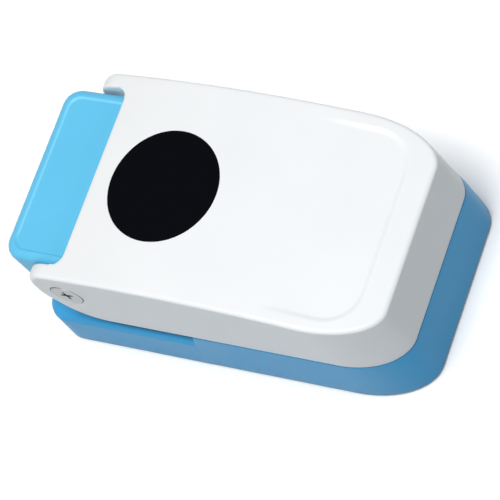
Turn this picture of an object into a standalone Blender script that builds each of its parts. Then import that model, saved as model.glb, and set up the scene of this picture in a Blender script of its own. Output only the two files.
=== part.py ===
"""Lever circle punch: pressing the lever drives a round steel cutter through the paper into a die.

Lengths are in metres. The head with its pivot lies towards -X, the pressed end of the lever
towards +X, and +Z is up. The origin is the middle of the footprint, on the surface that the
feet stand on. TABLE_HEIGHT is measured from the bottom edge of the base.
"""
import bpy
import bmesh
from collections import namedtuple
from math import cos, pi, radians, sin
from mathutils import Matrix, Vector

# Whole body
LENGTH = 0.1349
CUT_RADIUS = 0.0190
SIDE_FROM_CUT = 0.0180
BASE_WIDTH = 2 * (CUT_RADIUS + SIDE_FROM_CUT)
BASE_HEAD_SETBACK = 0.0011
FOOT_PROUD = 0.0006
TABLE_HEIGHT = 0.0150
SLOT_HEIGHT = 0.0046
BAND_SIDE_SETBACK = 0.00055
BAND_END_SETBACK = 0.0010
SEAM_SIDE_SETBACK = 0.00095
SEAM_END_SETBACK = 0.0016
CROWN_SIDE_SETBACK = 0.0010
CROWN_END_SETBACK = 0.0035
BASE_CORNER_ALONG = 0.0250
BASE_CORNER_ACROSS = 0.0136
BAND_CORNER_ALONG = 0.0227
BAND_CORNER_ACROSS = 0.0132
SEAM_CORNER_ALONG = 0.0219
SEAM_CORNER_ACROSS = 0.0130
CROWN_CORNER_ALONG = 0.0257
CROWN_CORNER_ACROSS = 0.0125

# Fits and cuts
CLEARANCE = 0.0003
SEAM_GAP = 0.00035
OVERRUN = 0.0020
MERGE_DISTANCE = 0.000001

# Lever, its pivot and its top plate
PIVOT_FROM_HEAD_END = 0.0225
PIVOT_ABOVE_TABLE = 0.0224
OPEN_ANGLE = radians(22.0)
CROWN_FROM_PIVOT = 0.0253
CROWN_ABOVE_PIVOT = 0.0131
ARCH_RADIUS = 0.3570
LEVER_WALL = 0.0022
LEVER_PLATE = 0.0020
LEVER_EDGE_RADIUS = 0.0012
EAR_THICKNESS = 0.00505
EAR_GAP = 0.0010
EAR_END_RADIUS = 0.0116
EAR_TOP_RADIUS = 0.0082
EAR_HEEL_ANGLE = radians(212.0)
EAR_HEEL_REACH = 0.0070
EAR_TOE_REACH = 0.0065
EAR_TOE_FROM_PIVOT = 0.0065
EAR_ROOT_FROM_PIVOT = 0.0072
NOTCH_FROM_PIVOT = 0.0014
NOTCH_RADIUS = 0.0040
RIB_THICKNESS = 0.0016
RIB_DEPTH = 0.0080
RIB_SPACING = 0.0360
RIB_END_GAP = 0.0060
PALM_END_SETBACK = 0.0078
PALM_SIDE_SETBACK = 0.0042
PALM_LENGTH = 0.0310
PALM_DEPTH = 0.0006
PALM_START_SHARE = 0.05
PALM_CORNER_ALONG = 0.0150
PALM_CORNER_ACROSS = 0.0110

# Disc on the lever
DISC_UNDER_CUT = 0.0002
DISC_RADIUS = CUT_RADIUS - DISC_UNDER_CUT
DISC_FROM_PIVOT = 0.0273
DISC_THICKNESS = 0.0005
DISC_PROUD = 0.0001

# Pivot hardware
AXLE_RADIUS = 0.0040
AXLE_BORE_DEPTH = 0.0085
PIVOT_SCREW_HEAD_RADIUS = 0.0053
PIVOT_SCREW_HEAD_THICKNESS = 0.0015
PIVOT_SCREW_SHANK_RADIUS = 0.0020
PIVOT_SCREW_SHANK_LENGTH = 0.0075
WASHER_RADIUS = 0.0070
CROSS_LENGTH = 0.0048
CROSS_WIDTH = 0.0009
CROSS_DEPTH = 0.0009
CROSS_TURN = radians(-9.5)

# Cutter, its carrier and the pin that drives it
DRIVE_ARM = 0.0162
CUTTER_HEIGHT = 0.0080
CUTTER_IN_DIE = 0.0009
SHEAR_RISE = 0.0012
DRIVE_PIN_RADIUS = 0.0020
DRIVE_RIB_RADIUS = 0.0039
DRIVE_RIB_THICKNESS = 0.0022
CARRIER_RIM_SETBACK = 0.0003
CARRIER_DISC_THICKNESS = 0.0042
CARRIER_BLOCK_TOP = 0.0054
CARRIER_BLOCK_LENGTH = 0.0232
CARRIER_WING_THICKNESS = 0.0030
CARRIER_BLOCK_FROM_POST = 0.0058
CHEEK_THICKNESS = 0.0035
CHEEK_SPACING = 0.0185
CHEEK_LENGTH = 0.0100
CHEEK_TOP_MARGIN = 0.0013
PIN_SWING = 0.0014

# Guide posts and return springs
POST_RADIUS = 0.0015
POST_SPACING = 0.0160
POST_FROM_WALL = 0.0041
SPRING_WIRE_RADIUS = 0.0004
SPRING_RADIUS = 0.0023
SPRING_TURNS = 4.75

# Die, guide plate and the spacer between them
DIE_THICKNESS = 0.0020
GUIDE_THICKNESS = 0.0015
DIE_LAND = 0.0015
PLATE_FRONT_MARGIN = 0.0090
PLATE_CORNER_RADIUS = 0.0030
SPACER_LENGTH = 0.0122
SET_SCREW_SPACING_ALONG = 0.0062
SET_SCREW_FROM_SIDE = 0.0096
NOSE_SCREW_FROM_SIDE = 0.0086
NOSE_SCREW_FROM_EDGE = 0.0045

# Head housing
HEAD_ABOVE_PIVOT = 0.0095
HEAD_CORNER_RADIUS = 0.0060
HEAD_EDGE_RADIUS = 0.0024
HEAD_WALL = 0.0021
HEAD_FRONT_WALL = 0.0025
HEAD_TOP_WALL = 0.0022
HEAD_CHEEK_WALL = 0.0045
HEAD_PANEL_BORDER = 0.0032
HEAD_PANEL_DEPTH = 0.0004
HEAD_PANEL_SLOPE = 0.00045
HEAD_TAIL = 0.0023
HEAD_DECK_ABOVE_PIVOT = 0.0036
HEAD_DECK_START = 0.0029
STOP_RAIL_WIDTH = 0.0079
STOP_RAIL_START = 0.0044
STOP_RAIL_LENGTH = 0.0240
TAIL_POCKET_FROM_SCREW = 0.0050
TAIL_POCKET_WALL = 0.0028
TAIL_POCKET_FLOOR = 0.0030

# Base shell
BASE_WALL = 0.0024
BASE_DECK = 0.0022
BASE_EDGE_RADIUS = 0.0002
TABLE_EDGE_RADIUS = 0.0020
TABLE_DECK = 0.0045
HEEL_RADIUS = 0.0080
STEP_LEAN = 0.0014
TABLE_WALL_INSET = 0.0003
PRESS_PART_START = 0.0003
HIGH_HOLLOW_INSET = 0.0003
CHUTE_GAP = 0.0010
CHUTE_WALL = 0.0020

# Bottom cover, its screws and the feet
COVER_THICKNESS = 0.0024
BOSS_RADIUS = 0.0034
COVER_SCREW_FROM_END = 0.0105
COVER_SCREW_FROM_SIDE = 0.0095
COVER_SCREW_FROM_PRESS_END = 0.0150
COVER_SCREW_FROM_PRESS_SIDE = 0.0110
FOOT_RADIUS = 0.0050
FOOT_THICKNESS = 0.0014
FOOT_FROM_SCREW = 0.0125

# Screws that hold the die set, the guide plate and the bottom cover
SCREW_SHANK_RADIUS = 0.0014
SCREW_HEAD_RADIUS = 0.0027
SCREW_HEAD_THICKNESS = 0.0013
SET_SCREW_LENGTH = 0.0210
NOSE_SCREW_LENGTH = 0.0075
COVER_SCREW_LENGTH = 0.0090
CUTTER_SCREW_LENGTH = 0.0085
CUTTER_SCREW_SPACING = 0.0100
SCREW_RECESS_DEPTH = 0.0002

# Latch tongue on the lever and the lock slider under it
TONGUE_FROM_END = 0.0170
TONGUE_THICKNESS = 0.0025
TONGUE_WIDTH = 0.0120
TONGUE_FOOT_HEIGHT = 0.0070
LEDGE_LENGTH = 0.0026
LEDGE_THICKNESS = 0.0022
LOCK_TRAVEL = 0.0030
LOCK_NOSE_GAP = 0.0009
LOCK_NOSE_HEIGHT = 0.0024
LOCK_COLUMN = 0.0035
LOCK_PLATE_LENGTH = 0.0205
LOCK_PLATE_WIDTH = 0.0160
LOCK_PLATE_THICKNESS = 0.0018
LOCK_TAB_LENGTH = 0.0080
LOCK_TAB_WIDTH = 0.0100
LOCK_TAB_FROM_END = 0.0065
LOCK_TAB_INSET = 0.0005
LOCK_RAIL_THICKNESS = 0.0016
LOCK_RAIL_HEIGHT = 0.0026
HOLD_DOWN_LENGTH = 0.0120
HOLD_DOWN_THICKNESS = 0.0016
TONGUE_SLOT_LEAD = 0.0035
TONGUE_SLOT_MARGIN = 0.0010

# Steps along curves
CORNER_STEPS = 12
STRAIGHT_STEPS = 10
EDGE_STEPS = 4
HOLE_STEPS = 12
CUT_STEPS = 48
SPRING_STEPS = 8

# Levels and places worked out from the sizes
BASE_Z = FOOT_PROUD
TABLE_Z = BASE_Z + TABLE_HEIGHT
SEAM_Z = TABLE_Z + SLOT_HEIGHT
LEVER_Z = SEAM_Z + SEAM_GAP
PIVOT_Z = TABLE_Z + PIVOT_ABOVE_TABLE
CROWN_Z = PIVOT_Z + CROWN_ABOVE_PIVOT
HEAD_END = -LENGTH / 2
PRESS_END = LENGTH / 2
BASE_END = HEAD_END + BASE_HEAD_SETBACK
PIVOT_X = HEAD_END + PIVOT_FROM_HEAD_END
CROWN_X = PIVOT_X + CROWN_FROM_PIVOT
NOTCH_X = PIVOT_X + NOTCH_FROM_PIVOT
CUTTER_X = PIVOT_X + DRIVE_ARM
THROAT_X = CUTTER_X + CUT_RADIUS + DIE_LAND
STEP_FOOT_X = THROAT_X - STEP_LEAN / 2
SPACER_END = THROAT_X + SPACER_LENGTH
TAIL_X = SPACER_END + HEAD_TAIL
EAR_OUTER = BASE_WIDTH / 2 - SEAM_SIDE_SETBACK
EAR_INNER = EAR_OUTER - EAR_THICKNESS
HEAD_HALF = EAR_INNER - EAR_GAP
HEAD_INNER = HEAD_HALF - HEAD_WALL
PLATE_HALF = HEAD_INNER - CLEARANCE
PLATE_START = HEAD_END + PLATE_FRONT_MARGIN
GUIDE_TOP_Z = SEAM_Z + GUIDE_THICKNESS
SEAT_Z = GUIDE_TOP_Z + CLEARANCE
HEAD_Z = PIVOT_Z + HEAD_ABOVE_PIVOT
DECK_Z = PIVOT_Z + HEAD_DECK_ABOVE_PIVOT
HOLE_RADIUS = CUT_RADIUS + CLEARANCE
SCREW_HOLE = SCREW_SHANK_RADIUS + CLEARANCE
CUTTER_Z = TABLE_Z - CUTTER_IN_DIE
CUTTER_TOP_Z = CUTTER_Z + CUTTER_HEIGHT
CARRIER_Z = CUTTER_TOP_Z + CLEARANCE
BLOCK_TOP_Z = PIVOT_Z - CARRIER_BLOCK_TOP
WING_Z = BLOCK_TOP_Z - CARRIER_WING_THICKNESS
STROKE = DRIVE_ARM * sin(OPEN_ANGLE)
RAIL_Z = BLOCK_TOP_Z + STROKE + CLEARANCE
POST_Y = HEAD_INNER - POST_FROM_WALL
POST_PLACES = [(CUTTER_X + x * POST_SPACING / 2, y * POST_Y) for x in (-1, 1) for y in (-1, 1)]
SET_SCREW_X = (THROAT_X + SPACER_END) / 2
SET_SCREW_Y = PLATE_HALF - SET_SCREW_FROM_SIDE
TONGUE_X = PRESS_END - TONGUE_FROM_END
TONGUE_Z = BASE_Z + TONGUE_FOOT_HEIGHT
LEDGE_X = TONGUE_X - LEDGE_LENGTH
NOSE_X = LEDGE_X - LOCK_NOSE_GAP
NOSE_Z = TONGUE_Z + LEDGE_THICKNESS + CLEARANCE
COVER_Z = BASE_Z + COVER_THICKNESS
LOCK_Z = COVER_Z + CLEARANCE

# A plan outline: half its width, where its press end lies, and the two sizes of its end corners
Plan = namedtuple("Plan", "half_width end along across")
BASE_PLAN = Plan(BASE_WIDTH / 2, PRESS_END, BASE_CORNER_ALONG, BASE_CORNER_ACROSS)
BAND_PLAN = Plan(BASE_WIDTH / 2 - BAND_SIDE_SETBACK, PRESS_END - BAND_END_SETBACK,
                 BAND_CORNER_ALONG, BAND_CORNER_ACROSS)
SEAM_PLAN = Plan(EAR_OUTER, PRESS_END - SEAM_END_SETBACK, SEAM_CORNER_ALONG, SEAM_CORNER_ACROSS)
CROWN_PLAN = Plan(BASE_WIDTH / 2 - CROWN_SIDE_SETBACK, PRESS_END - CROWN_END_SETBACK,
                  CROWN_CORNER_ALONG, CROWN_CORNER_ACROSS)
PALM_PLAN = Plan(EAR_OUTER - PALM_SIDE_SETBACK, PRESS_END - CROWN_END_SETBACK - PALM_END_SETBACK,
                 PALM_CORNER_ALONG, PALM_CORNER_ACROSS)

# Colours are linear
SKY_BLUE = (0.105, 0.480, 0.800)
SNOW_WHITE = (0.880, 0.890, 0.900)
INK_BLACK = (0.005, 0.005, 0.006)
BRIGHT_STEEL = (0.600, 0.600, 0.610)
TOOL_STEEL = (0.430, 0.435, 0.445)
NYLON = (0.750, 0.740, 0.700)
GREY_ACETAL = (0.300, 0.310, 0.320)
RUBBER_BLACK = (0.020, 0.020, 0.021)


def clear_scene():
    """Takes away whatever the scene holds."""
    for old in list(bpy.data.objects):
        bpy.data.objects.remove(old, do_unlink=True)


def lever_top(x):
    """Height of the lever's arched top along its length."""
    return CROWN_Z - (x - CROWN_X) ** 2 / (2 * ARCH_RADIUS)


def plate_underside(x):
    """Height of the underside of the lever's top plate."""
    return lever_top(x) - LEVER_PLATE


def level(height):
    """A height that is the same all along."""
    return lambda x: height


def plan_at(z):
    """Plan of the base at a height: its walls lean in evenly from the bottom edge to the table."""
    share = (z - BASE_Z) / (TABLE_Z - BASE_Z)
    return Plan(*(low + (high - low) * share for low, high in zip(BASE_PLAN, BAND_PLAN)))


def half_outline(plan, start, start_radius=0.0, inset=0.0, straight_steps=1):
    """Points along the +Y side of a plan outline, from its head end at start to its press end.

    The corner at the head end is an arc, the one at the press end a quarter of an ellipse.
    """
    half = plan.half_width - inset
    end = plan.end - inset
    along = plan.along - inset
    across = plan.across - inset
    turns = [pi / 2 * step / CORNER_STEPS for step in range(CORNER_STEPS + 1)]
    points = []
    if start_radius > 0:
        points += [(start + start_radius * (1 - cos(t)), half - start_radius * (1 - sin(t))) for t in turns]
    else:
        points.append((start, half))
    run_start = points[-1][0]
    run = end - along - run_start
    points += [(run_start + run * step / straight_steps, half) for step in range(1, straight_steps)]
    points += [(end - along * (1 - sin(t)), half - across * (1 - cos(t))) for t in turns]
    return points


def ring(points, height):
    """Closes a half outline into a loop that is even about the middle plane."""
    side = [(x, y, height(x)) for x, y in points]
    return side + [(x, -y, z) for x, y, z in reversed(side)]


def loft(rings):
    """A closed body through rings of like count, its two end rings filled with strips across Y."""
    body = bmesh.new()
    loops = [[body.verts.new(point) for point in points] for points in rings]
    for low, high in zip(loops, loops[1:]):
        for here in range(len(low)):
            after = (here + 1) % len(low)
            body.faces.new((low[here], low[after], high[after], high[here]))
    for loop in (loops[0], loops[-1]):
        for step in range(len(loop) // 2 - 1):
            body.faces.new((loop[step], loop[step + 1], loop[-2 - step], loop[-1 - step]))
    bmesh.ops.recalc_face_normals(body, faces=body.faces)
    return body


def prism(points, axis, low, high):
    """A flat outline extruded along X, Y or Z. Its points are in the other two axes, in their order."""
    along = "XYZ".index(axis)
    body = bmesh.new()
    corners = []
    for first, second in points:
        place = [first, second]
        place.insert(along, low)
        corners.append(body.verts.new(place))
    extruded = bmesh.ops.extrude_face_region(body, geom=[body.faces.new(corners)])
    moved = [item for item in extruded["geom"] if isinstance(item, bmesh.types.BMVert)]
    shift = Vector((0, 0, 0))
    shift[along] = high - low
    bmesh.ops.translate(body, verts=moved, vec=shift)
    bmesh.ops.recalc_face_normals(body, faces=body.faces)
    return body


def block(x_range, y_range, z_range):
    """A plain box between six faces."""
    corners = [(x_range[0], y_range[0]), (x_range[1], y_range[0]),
               (x_range[1], y_range[1]), (x_range[0], y_range[1])]
    return prism(corners, "Z", *z_range)


def arc(centre, radius, start, finish, steps=CORNER_STEPS):
    """Points along an arc from one angle to another."""
    turns = [start + (finish - start) * step / steps for step in range(steps + 1)]
    return [(centre[0] + radius * cos(turn), centre[1] + radius * sin(turn)) for turn in turns]


def rounded_rectangle(x_range, y_range, radius, steps=CORNER_STEPS // 2):
    """Outline of a rectangle with four like round corners."""
    left, right = x_range[0] + radius, x_range[1] - radius
    low, high = y_range[0] + radius, y_range[1] - radius
    centres = ((right, high, 0), (left, high, pi / 2), (left, low, pi), (right, low, 3 * pi / 2))
    points = []
    for x, y, turn in centres:
        points += arc((x, y), radius, turn, turn + pi / 2, steps)
    return points


def turned(profile, steps=HOLE_STEPS, closed=False):
    """A body of revolution about Z from (radius, height) points; a closed profile makes a tube."""
    body = bmesh.new()
    corners = [body.verts.new((radius, 0, height)) for radius, height in profile]
    pairs = list(zip(corners, corners[1:]))
    if closed:
        pairs.append((corners[-1], corners[0]))
    edges = [body.edges.new(pair) for pair in pairs]
    bmesh.ops.spin(body, geom=corners + edges, cent=(0, 0, 0), axis=(0, 0, 1), angle=2 * pi,
                   steps=steps, use_merge=True)
    bmesh.ops.remove_doubles(body, verts=body.verts, dist=MERGE_DISTANCE)
    bmesh.ops.recalc_face_normals(body, faces=body.faces)
    return body


def rod(radius, low, high, steps=HOLE_STEPS):
    """A plain round rod along Z."""
    return turned([(0, low), (radius, low), (radius, high), (0, high)], steps)


def stepped_rod(lower_radius, low, step, upper_radius, high):
    """A round rod along Z that changes radius at a step."""
    return turned([(0, low), (lower_radius, low), (lower_radius, step), (upper_radius, step),
                   (upper_radius, high), (0, high)])


def moved(body, x=0.0, y=0.0, z=0.0):
    """Shifts a body."""
    bmesh.ops.translate(body, verts=body.verts, vec=(x, y, z))
    return body


def laid_along_y(body, side=1):
    """Turns a body that was made along Z so that its top points to the given side along Y."""
    bmesh.ops.rotate(body, verts=body.verts, cent=(0, 0, 0), matrix=Matrix.Rotation(-side * pi / 2, 3, "X"))
    return body


def gathered(bodies):
    """One mesh that holds several bodies lying apart, for one union or one cut."""
    whole = bmesh.new()
    for body in bodies:
        piece = bpy.data.meshes.new("piece")
        body.to_mesh(piece)
        body.free()
        whole.from_mesh(piece)
        bpy.data.meshes.remove(piece)
    return whole


def new_object(name, body):
    """Puts a body into the scene as a named object with smooth faces and sharp edges."""
    mesh = bpy.data.meshes.new(name)
    body.to_mesh(mesh)
    body.free()
    mesh.shade_smooth()
    mesh.set_sharp_from_angle(angle=radians(32.0))
    made = bpy.data.objects.new(name, mesh)
    bpy.context.scene.collection.objects.link(made)
    return made


def finish(piece, colour, roughness, metallic=0.0):
    """Gives a piece its own material."""
    material = bpy.data.materials.new(piece.name)
    material.use_nodes = True
    shader = material.node_tree.nodes["Principled BSDF"]
    shader.inputs["Base Color"].default_value = (*colour, 1.0)
    shader.inputs["Roughness"].default_value = roughness
    shader.inputs["Metallic"].default_value = metallic
    material.diffuse_color = (*colour, 1.0)
    piece.data.materials.append(material)
    return piece


def shape(piece, operation, what, body):
    """Adds a body to a piece, cuts it away, or keeps what both share."""
    tool = new_object(f"{piece.name}_{what}", body)
    tool.hide_render = True
    tool.display_type = "WIRE"
    step = piece.modifiers.new(what, "BOOLEAN")
    step.operation = operation
    step.solver = "EXACT"
    step.object = tool


def add(piece, what, body):
    shape(piece, "UNION", what, body)


def cut(piece, what, body):
    shape(piece, "DIFFERENCE", what, body)


def joint_empty(name, x, y, z):
    """An empty on a joint's axis, which the joint's pieces hang on."""
    empty = bpy.data.objects.new(name, None)
    empty.location = (x, y, z)
    bpy.context.scene.collection.objects.link(empty)
    return empty


def hang_on(empty, pieces):
    """Parents pieces to a joint's empty without moving them."""
    for piece in pieces:
        piece.parent = empty
        piece.matrix_parent_inverse = Matrix.Translation(empty.location).inverted()


def set_screw_places():
    """The four long screws behind the paper stop."""
    reach = SET_SCREW_SPACING_ALONG / 2
    return [(SET_SCREW_X + x * reach, y * SET_SCREW_Y) for x in (-1, 1) for y in (-1, 1)]


def nose_screw_places():
    """The two short screws at the head end of the guide plate."""
    x = PLATE_START + NOSE_SCREW_FROM_EDGE
    return [(x, side * (PLATE_HALF - NOSE_SCREW_FROM_SIDE)) for side in (-1, 1)]


def cover_screw_places():
    """The four screws of the bottom cover, two by the head end and two by the press end."""
    head_x = BASE_END + COVER_SCREW_FROM_END
    head_y = BASE_WIDTH / 2 - COVER_SCREW_FROM_SIDE
    press_x = PRESS_END - COVER_SCREW_FROM_PRESS_END
    press_y = BASE_WIDTH / 2 - COVER_SCREW_FROM_PRESS_SIDE
    return [(x, side * y) for x, y in ((head_x, head_y), (press_x, press_y)) for side in (-1, 1)]


def foot_places():
    """Each foot lies beside a cover screw, further in along the base."""
    return [(x - FOOT_FROM_SCREW * (1 if x > 0 else -1), y) for x, y in cover_screw_places()]


def base_shell():
    """Blue base: a drafted shell, open below, with the paper table at its head end."""
    rings = [base_ring(BASE_Z, BASE_EDGE_RADIUS), base_ring(BASE_Z + BASE_EDGE_RADIUS)]
    for step in range(EDGE_STEPS + 1):
        turn = pi / 2 * step / EDGE_STEPS
        inset = TABLE_EDGE_RADIUS * (1 - cos(turn))
        rings.append(base_ring(TABLE_Z - TABLE_EDGE_RADIUS * (1 - sin(turn)), inset))
    base = new_object("base_shell", loft(rings))
    add(base, "press_part", press_part())
    cut(base, "low_hollow", loft(base_hollow()))
    cut(base, "high_hollow", loft(press_part_hollow()))
    tail_room = HEAD_HALF + CLEARANCE
    cut(base, "tail_room", block((THROAT_X - OVERRUN, TAIL_X + CLEARANCE), (-tail_room, tail_room),
                                 (TABLE_Z, SEAM_Z + OVERRUN)))
    cut(base, "die_seat", prism(plate_outline(CLEARANCE), "Z", TABLE_Z - DIE_THICKNESS - CLEARANCE,
                                TABLE_Z + OVERRUN))
    add(base, "bosses", base_bosses())
    cut(base, "holes", base_holes())
    return finish(base, SKY_BLUE, 0.38)


def base_ring(z, head_inset=0.0):
    """Loop of the table's part at a height. Past the foot of the step it draws in under the raised part."""
    plan = plan_at(z)
    head_side = half_outline(plan, BASE_END + head_inset, HEEL_RADIUS, head_inset)[:CORNER_STEPS + 1]
    table_end = (STEP_FOOT_X, head_side[-1][1])
    press_side = half_outline(plan, STEP_FOOT_X + STEP_LEAN, 0.0, TABLE_WALL_INSET)
    return ring(head_side + [table_end] + press_side, level(z))


def press_part():
    """The raised part behind the paper slot, with the whole height of its walls up to the seam."""
    low = BASE_Z + PRESS_PART_START
    return loft([ring(half_outline(plan_at(low), STEP_FOOT_X), level(low)),
                 ring(half_outline(BAND_PLAN, STEP_FOOT_X), level(TABLE_Z)),
                 ring(half_outline(SEAM_PLAN, STEP_FOOT_X + STEP_LEAN), level(SEAM_Z))])


def base_hollow():
    """Rings of the room inside the base walls, from below the bottom edge up to the table's deck."""
    radius = HEEL_RADIUS - BASE_WALL
    return [ring(half_outline(plan_at(z), BASE_END + BASE_WALL, radius, BASE_WALL), level(z))
            for z in (BASE_Z - OVERRUN, TABLE_Z - TABLE_DECK)]


def press_part_hollow():
    """Rings of the room inside the raised part, which opens into the room below it."""
    low = TABLE_Z - TABLE_DECK - OVERRUN
    high = SEAM_Z - BASE_DECK
    start = TAIL_X + CLEARANCE + BASE_WALL
    inset = BASE_WALL + HIGH_HOLLOW_INSET
    return [ring(half_outline(plan_at(z), start, 0.0, inset), level(z)) for z in (low, TABLE_Z, high)]


def plate_outline(grown=0.0):
    """Outline that the die and the guide plate share."""
    return rounded_rectangle((PLATE_START - grown, SPACER_END + grown),
                             (-PLATE_HALF - grown, PLATE_HALF + grown), PLATE_CORNER_RADIUS + grown)


def base_bosses():
    """Chute under the die, bosses for the cover screws and hold-down ribs over the lock slider."""
    low = COVER_Z + CLEARANCE
    chute_inner = HOLE_RADIUS + CHUTE_GAP
    chute_top = TABLE_Z - TABLE_DECK + OVERRUN / 2
    chute = moved(turned([(chute_inner, low), (chute_inner + CHUTE_WALL, low),
                          (chute_inner + CHUTE_WALL, chute_top), (chute_inner, chute_top)],
                         CUT_STEPS, closed=True), CUTTER_X)
    bodies = [chute]
    for x, y in cover_screw_places():
        deck = TABLE_Z - TABLE_DECK if x < 0 else SEAM_Z - BASE_DECK
        bodies.append(moved(rod(BOSS_RADIUS, low, deck + BASE_DECK / 2), x, y))
    middle = NOSE_X - LOCK_PLATE_LENGTH / 2
    rib_low = LOCK_Z + LOCK_PLATE_THICKNESS + CLEARANCE
    outer = LOCK_PLATE_WIDTH / 2 - CLEARANCE
    for side in (-1, 1):
        y_range = sorted((side * outer, side * (outer - HOLD_DOWN_THICKNESS)))
        bodies.append(block((middle - HOLD_DOWN_LENGTH / 2, middle + HOLD_DOWN_LENGTH / 2), y_range,
                            (rib_low, SEAM_Z - BASE_DECK / 2)))
    return gathered(bodies)


def base_holes():
    """Chute mouth, screw holes and the slot that the latch tongue drops through."""
    low = TABLE_Z - TABLE_DECK - OVERRUN
    bodies = [moved(rod(HOLE_RADIUS + CHUTE_GAP, low, TABLE_Z, CUT_STEPS), CUTTER_X)]
    for x, y in set_screw_places():
        bodies.append(moved(rod(SCREW_HOLE, low, TABLE_Z), x, y))
    boss_top = BASE_Z + COVER_SCREW_LENGTH + OVERRUN
    for x, y in cover_screw_places():
        bodies.append(moved(rod(SCREW_HOLE, COVER_Z - OVERRUN, boss_top), x, y))
    half = TONGUE_WIDTH / 2 + TONGUE_SLOT_MARGIN
    bodies.append(block((LEDGE_X - TONGUE_SLOT_MARGIN, TONGUE_X + TONGUE_THICKNESS + TONGUE_SLOT_LEAD),
                        (-half, half), (SEAM_Z - BASE_DECK - OVERRUN, SEAM_Z + OVERRUN)))
    return gathered(bodies)


def bottom_cover():
    """Blue plate that closes the base from below, with the round mouth for the punched discs."""
    inset = BASE_WALL + CLEARANCE
    rings = [ring(half_outline(plan_at(z), BASE_END + inset, HEEL_RADIUS - inset, inset), level(z))
             for z in (BASE_Z, COVER_Z)]
    cover = new_object("bottom_cover", loft(rings))
    slider_half = LOCK_PLATE_WIDTH / 2 + CLEARANCE
    rails = []
    for side in (-1, 1):
        y_range = sorted((side * slider_half, side * (slider_half + LOCK_RAIL_THICKNESS)))
        rails.append(block((NOSE_X - LOCK_PLATE_LENGTH, NOSE_X), y_range,
                           (COVER_Z - COVER_THICKNESS / 2, COVER_Z + LOCK_RAIL_HEIGHT)))
    add(cover, "rails", gathered(rails))
    low = BASE_Z - OVERRUN
    bodies = [moved(rod(HOLE_RADIUS + CHUTE_GAP, low, COVER_Z + OVERRUN, CUT_STEPS), CUTTER_X)]
    head_room = BASE_Z + SCREW_RECESS_DEPTH + SCREW_HEAD_THICKNESS + CLEARANCE
    for x, y in cover_screw_places():
        bodies.append(moved(stepped_rod(SCREW_HEAD_RADIUS + CLEARANCE, low, head_room, SCREW_HOLE,
                                        COVER_Z + OVERRUN), x, y))
    foot_room = FOOT_THICKNESS + CLEARANCE
    for x, y in foot_places():
        bodies.append(moved(rod(FOOT_RADIUS + CLEARANCE, low, foot_room, CUT_STEPS // 2), x, y))
    tab_half = LOCK_TAB_WIDTH / 2 + CLEARANCE
    tab_end = NOSE_X - LOCK_TAB_FROM_END
    bodies.append(block((tab_end - LOCK_TAB_LENGTH - CLEARANCE, tab_end + LOCK_TRAVEL + CLEARANCE),
                        (-tab_half, tab_half), (low, COVER_Z + OVERRUN)))
    cut(cover, "holes", gathered(bodies))
    return finish(cover, SKY_BLUE, 0.45)


def feet():
    """Four rubber feet set into the bottom cover."""
    made = []
    profile = [(0, 0), (FOOT_RADIUS - FOOT_PROUD / 2, 0), (FOOT_RADIUS, FOOT_PROUD / 2),
               (FOOT_RADIUS, FOOT_THICKNESS), (0, FOOT_THICKNESS)]
    for number, (x, y) in enumerate(foot_places(), 1):
        foot = new_object(f"foot_{number}", turned(profile, CUT_STEPS // 2))
        foot.location = (x, y, 0)
        made.append(finish(foot, RUBBER_BLACK, 0.85))
    return made


def screw_body(length, pointed=True):
    """A cross-slotted screw, head down: the head's face at height zero, the shank upwards."""
    tip = SCREW_SHANK_RADIUS if pointed else 0.0
    body = turned([(0, 0), (SCREW_HEAD_RADIUS, 0), (SCREW_HEAD_RADIUS, SCREW_HEAD_THICKNESS),
                   (SCREW_SHANK_RADIUS, SCREW_HEAD_THICKNESS), (SCREW_SHANK_RADIUS, length - tip),
                   (0, length)])
    return body


def cross_cutter(length, width, depth):
    """A cross-shaped bar that sinks a recess into the face at height zero."""
    long, short = length / 2, width / 2
    outline = [(short, long), (short, short), (long, short), (long, -short), (short, -short), (short, -long),
               (-short, -long), (-short, -short), (-long, -short), (-long, short), (-short, short),
               (-short, long)]
    bar = prism(outline, "Z", -OVERRUN, depth)
    bmesh.ops.rotate(bar, verts=bar.verts, cent=(0, 0, 0), matrix=Matrix.Rotation(CROSS_TURN, 3, "Z"))
    return bar


def screw(name, x, y, z, length, head_up=False):
    """A small cross-slotted screw with its head's face at a place."""
    made = new_object(name, screw_body(length))
    recess = cross_cutter(SCREW_HEAD_RADIUS, CROSS_WIDTH * SCREW_HEAD_RADIUS / CROSS_LENGTH,
                          SCREW_HEAD_THICKNESS / 2)
    cut(made, "recess", recess)
    place = Matrix.Translation((x, y, z))
    if head_up:
        place = place @ Matrix.Rotation(pi, 4, "X")
    made.matrix_world = place
    tool = made.modifiers["recess"].object
    tool.matrix_world = place
    return finish(made, BRIGHT_STEEL, 0.32, 1.0)


def fixing_screws():
    """Screws of the bottom cover, the die set and the head end of the guide plate."""
    made = []
    for number, (x, y) in enumerate(cover_screw_places(), 1):
        made.append(screw(f"cover_screw_{number}", x, y, BASE_Z + SCREW_RECESS_DEPTH, COVER_SCREW_LENGTH))
    head_z = TABLE_Z - TABLE_DECK - CLEARANCE - SCREW_HEAD_THICKNESS
    for number, (x, y) in enumerate(set_screw_places(), 1):
        made.append(screw(f"die_set_screw_{number}", x, y, head_z, SET_SCREW_LENGTH))
    for number, (x, y) in enumerate(nose_screw_places(), 1):
        made.append(countersunk_screw(f"guide_plate_screw_{number}", x, y, SEAM_Z, NOSE_SCREW_LENGTH))
    return made


def countersunk_profile(length, grown=0.0):
    """Profile of a countersunk screw, head down, or of its hole when grown."""
    head = SCREW_HEAD_RADIUS + grown
    shank = SCREW_SHANK_RADIUS + grown
    cone_end = head - shank + SCREW_RECESS_DEPTH
    return [(0, -grown), (head, -grown), (head, SCREW_RECESS_DEPTH), (shank, cone_end),
            (shank, length + grown), (0, length + grown)]


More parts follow.
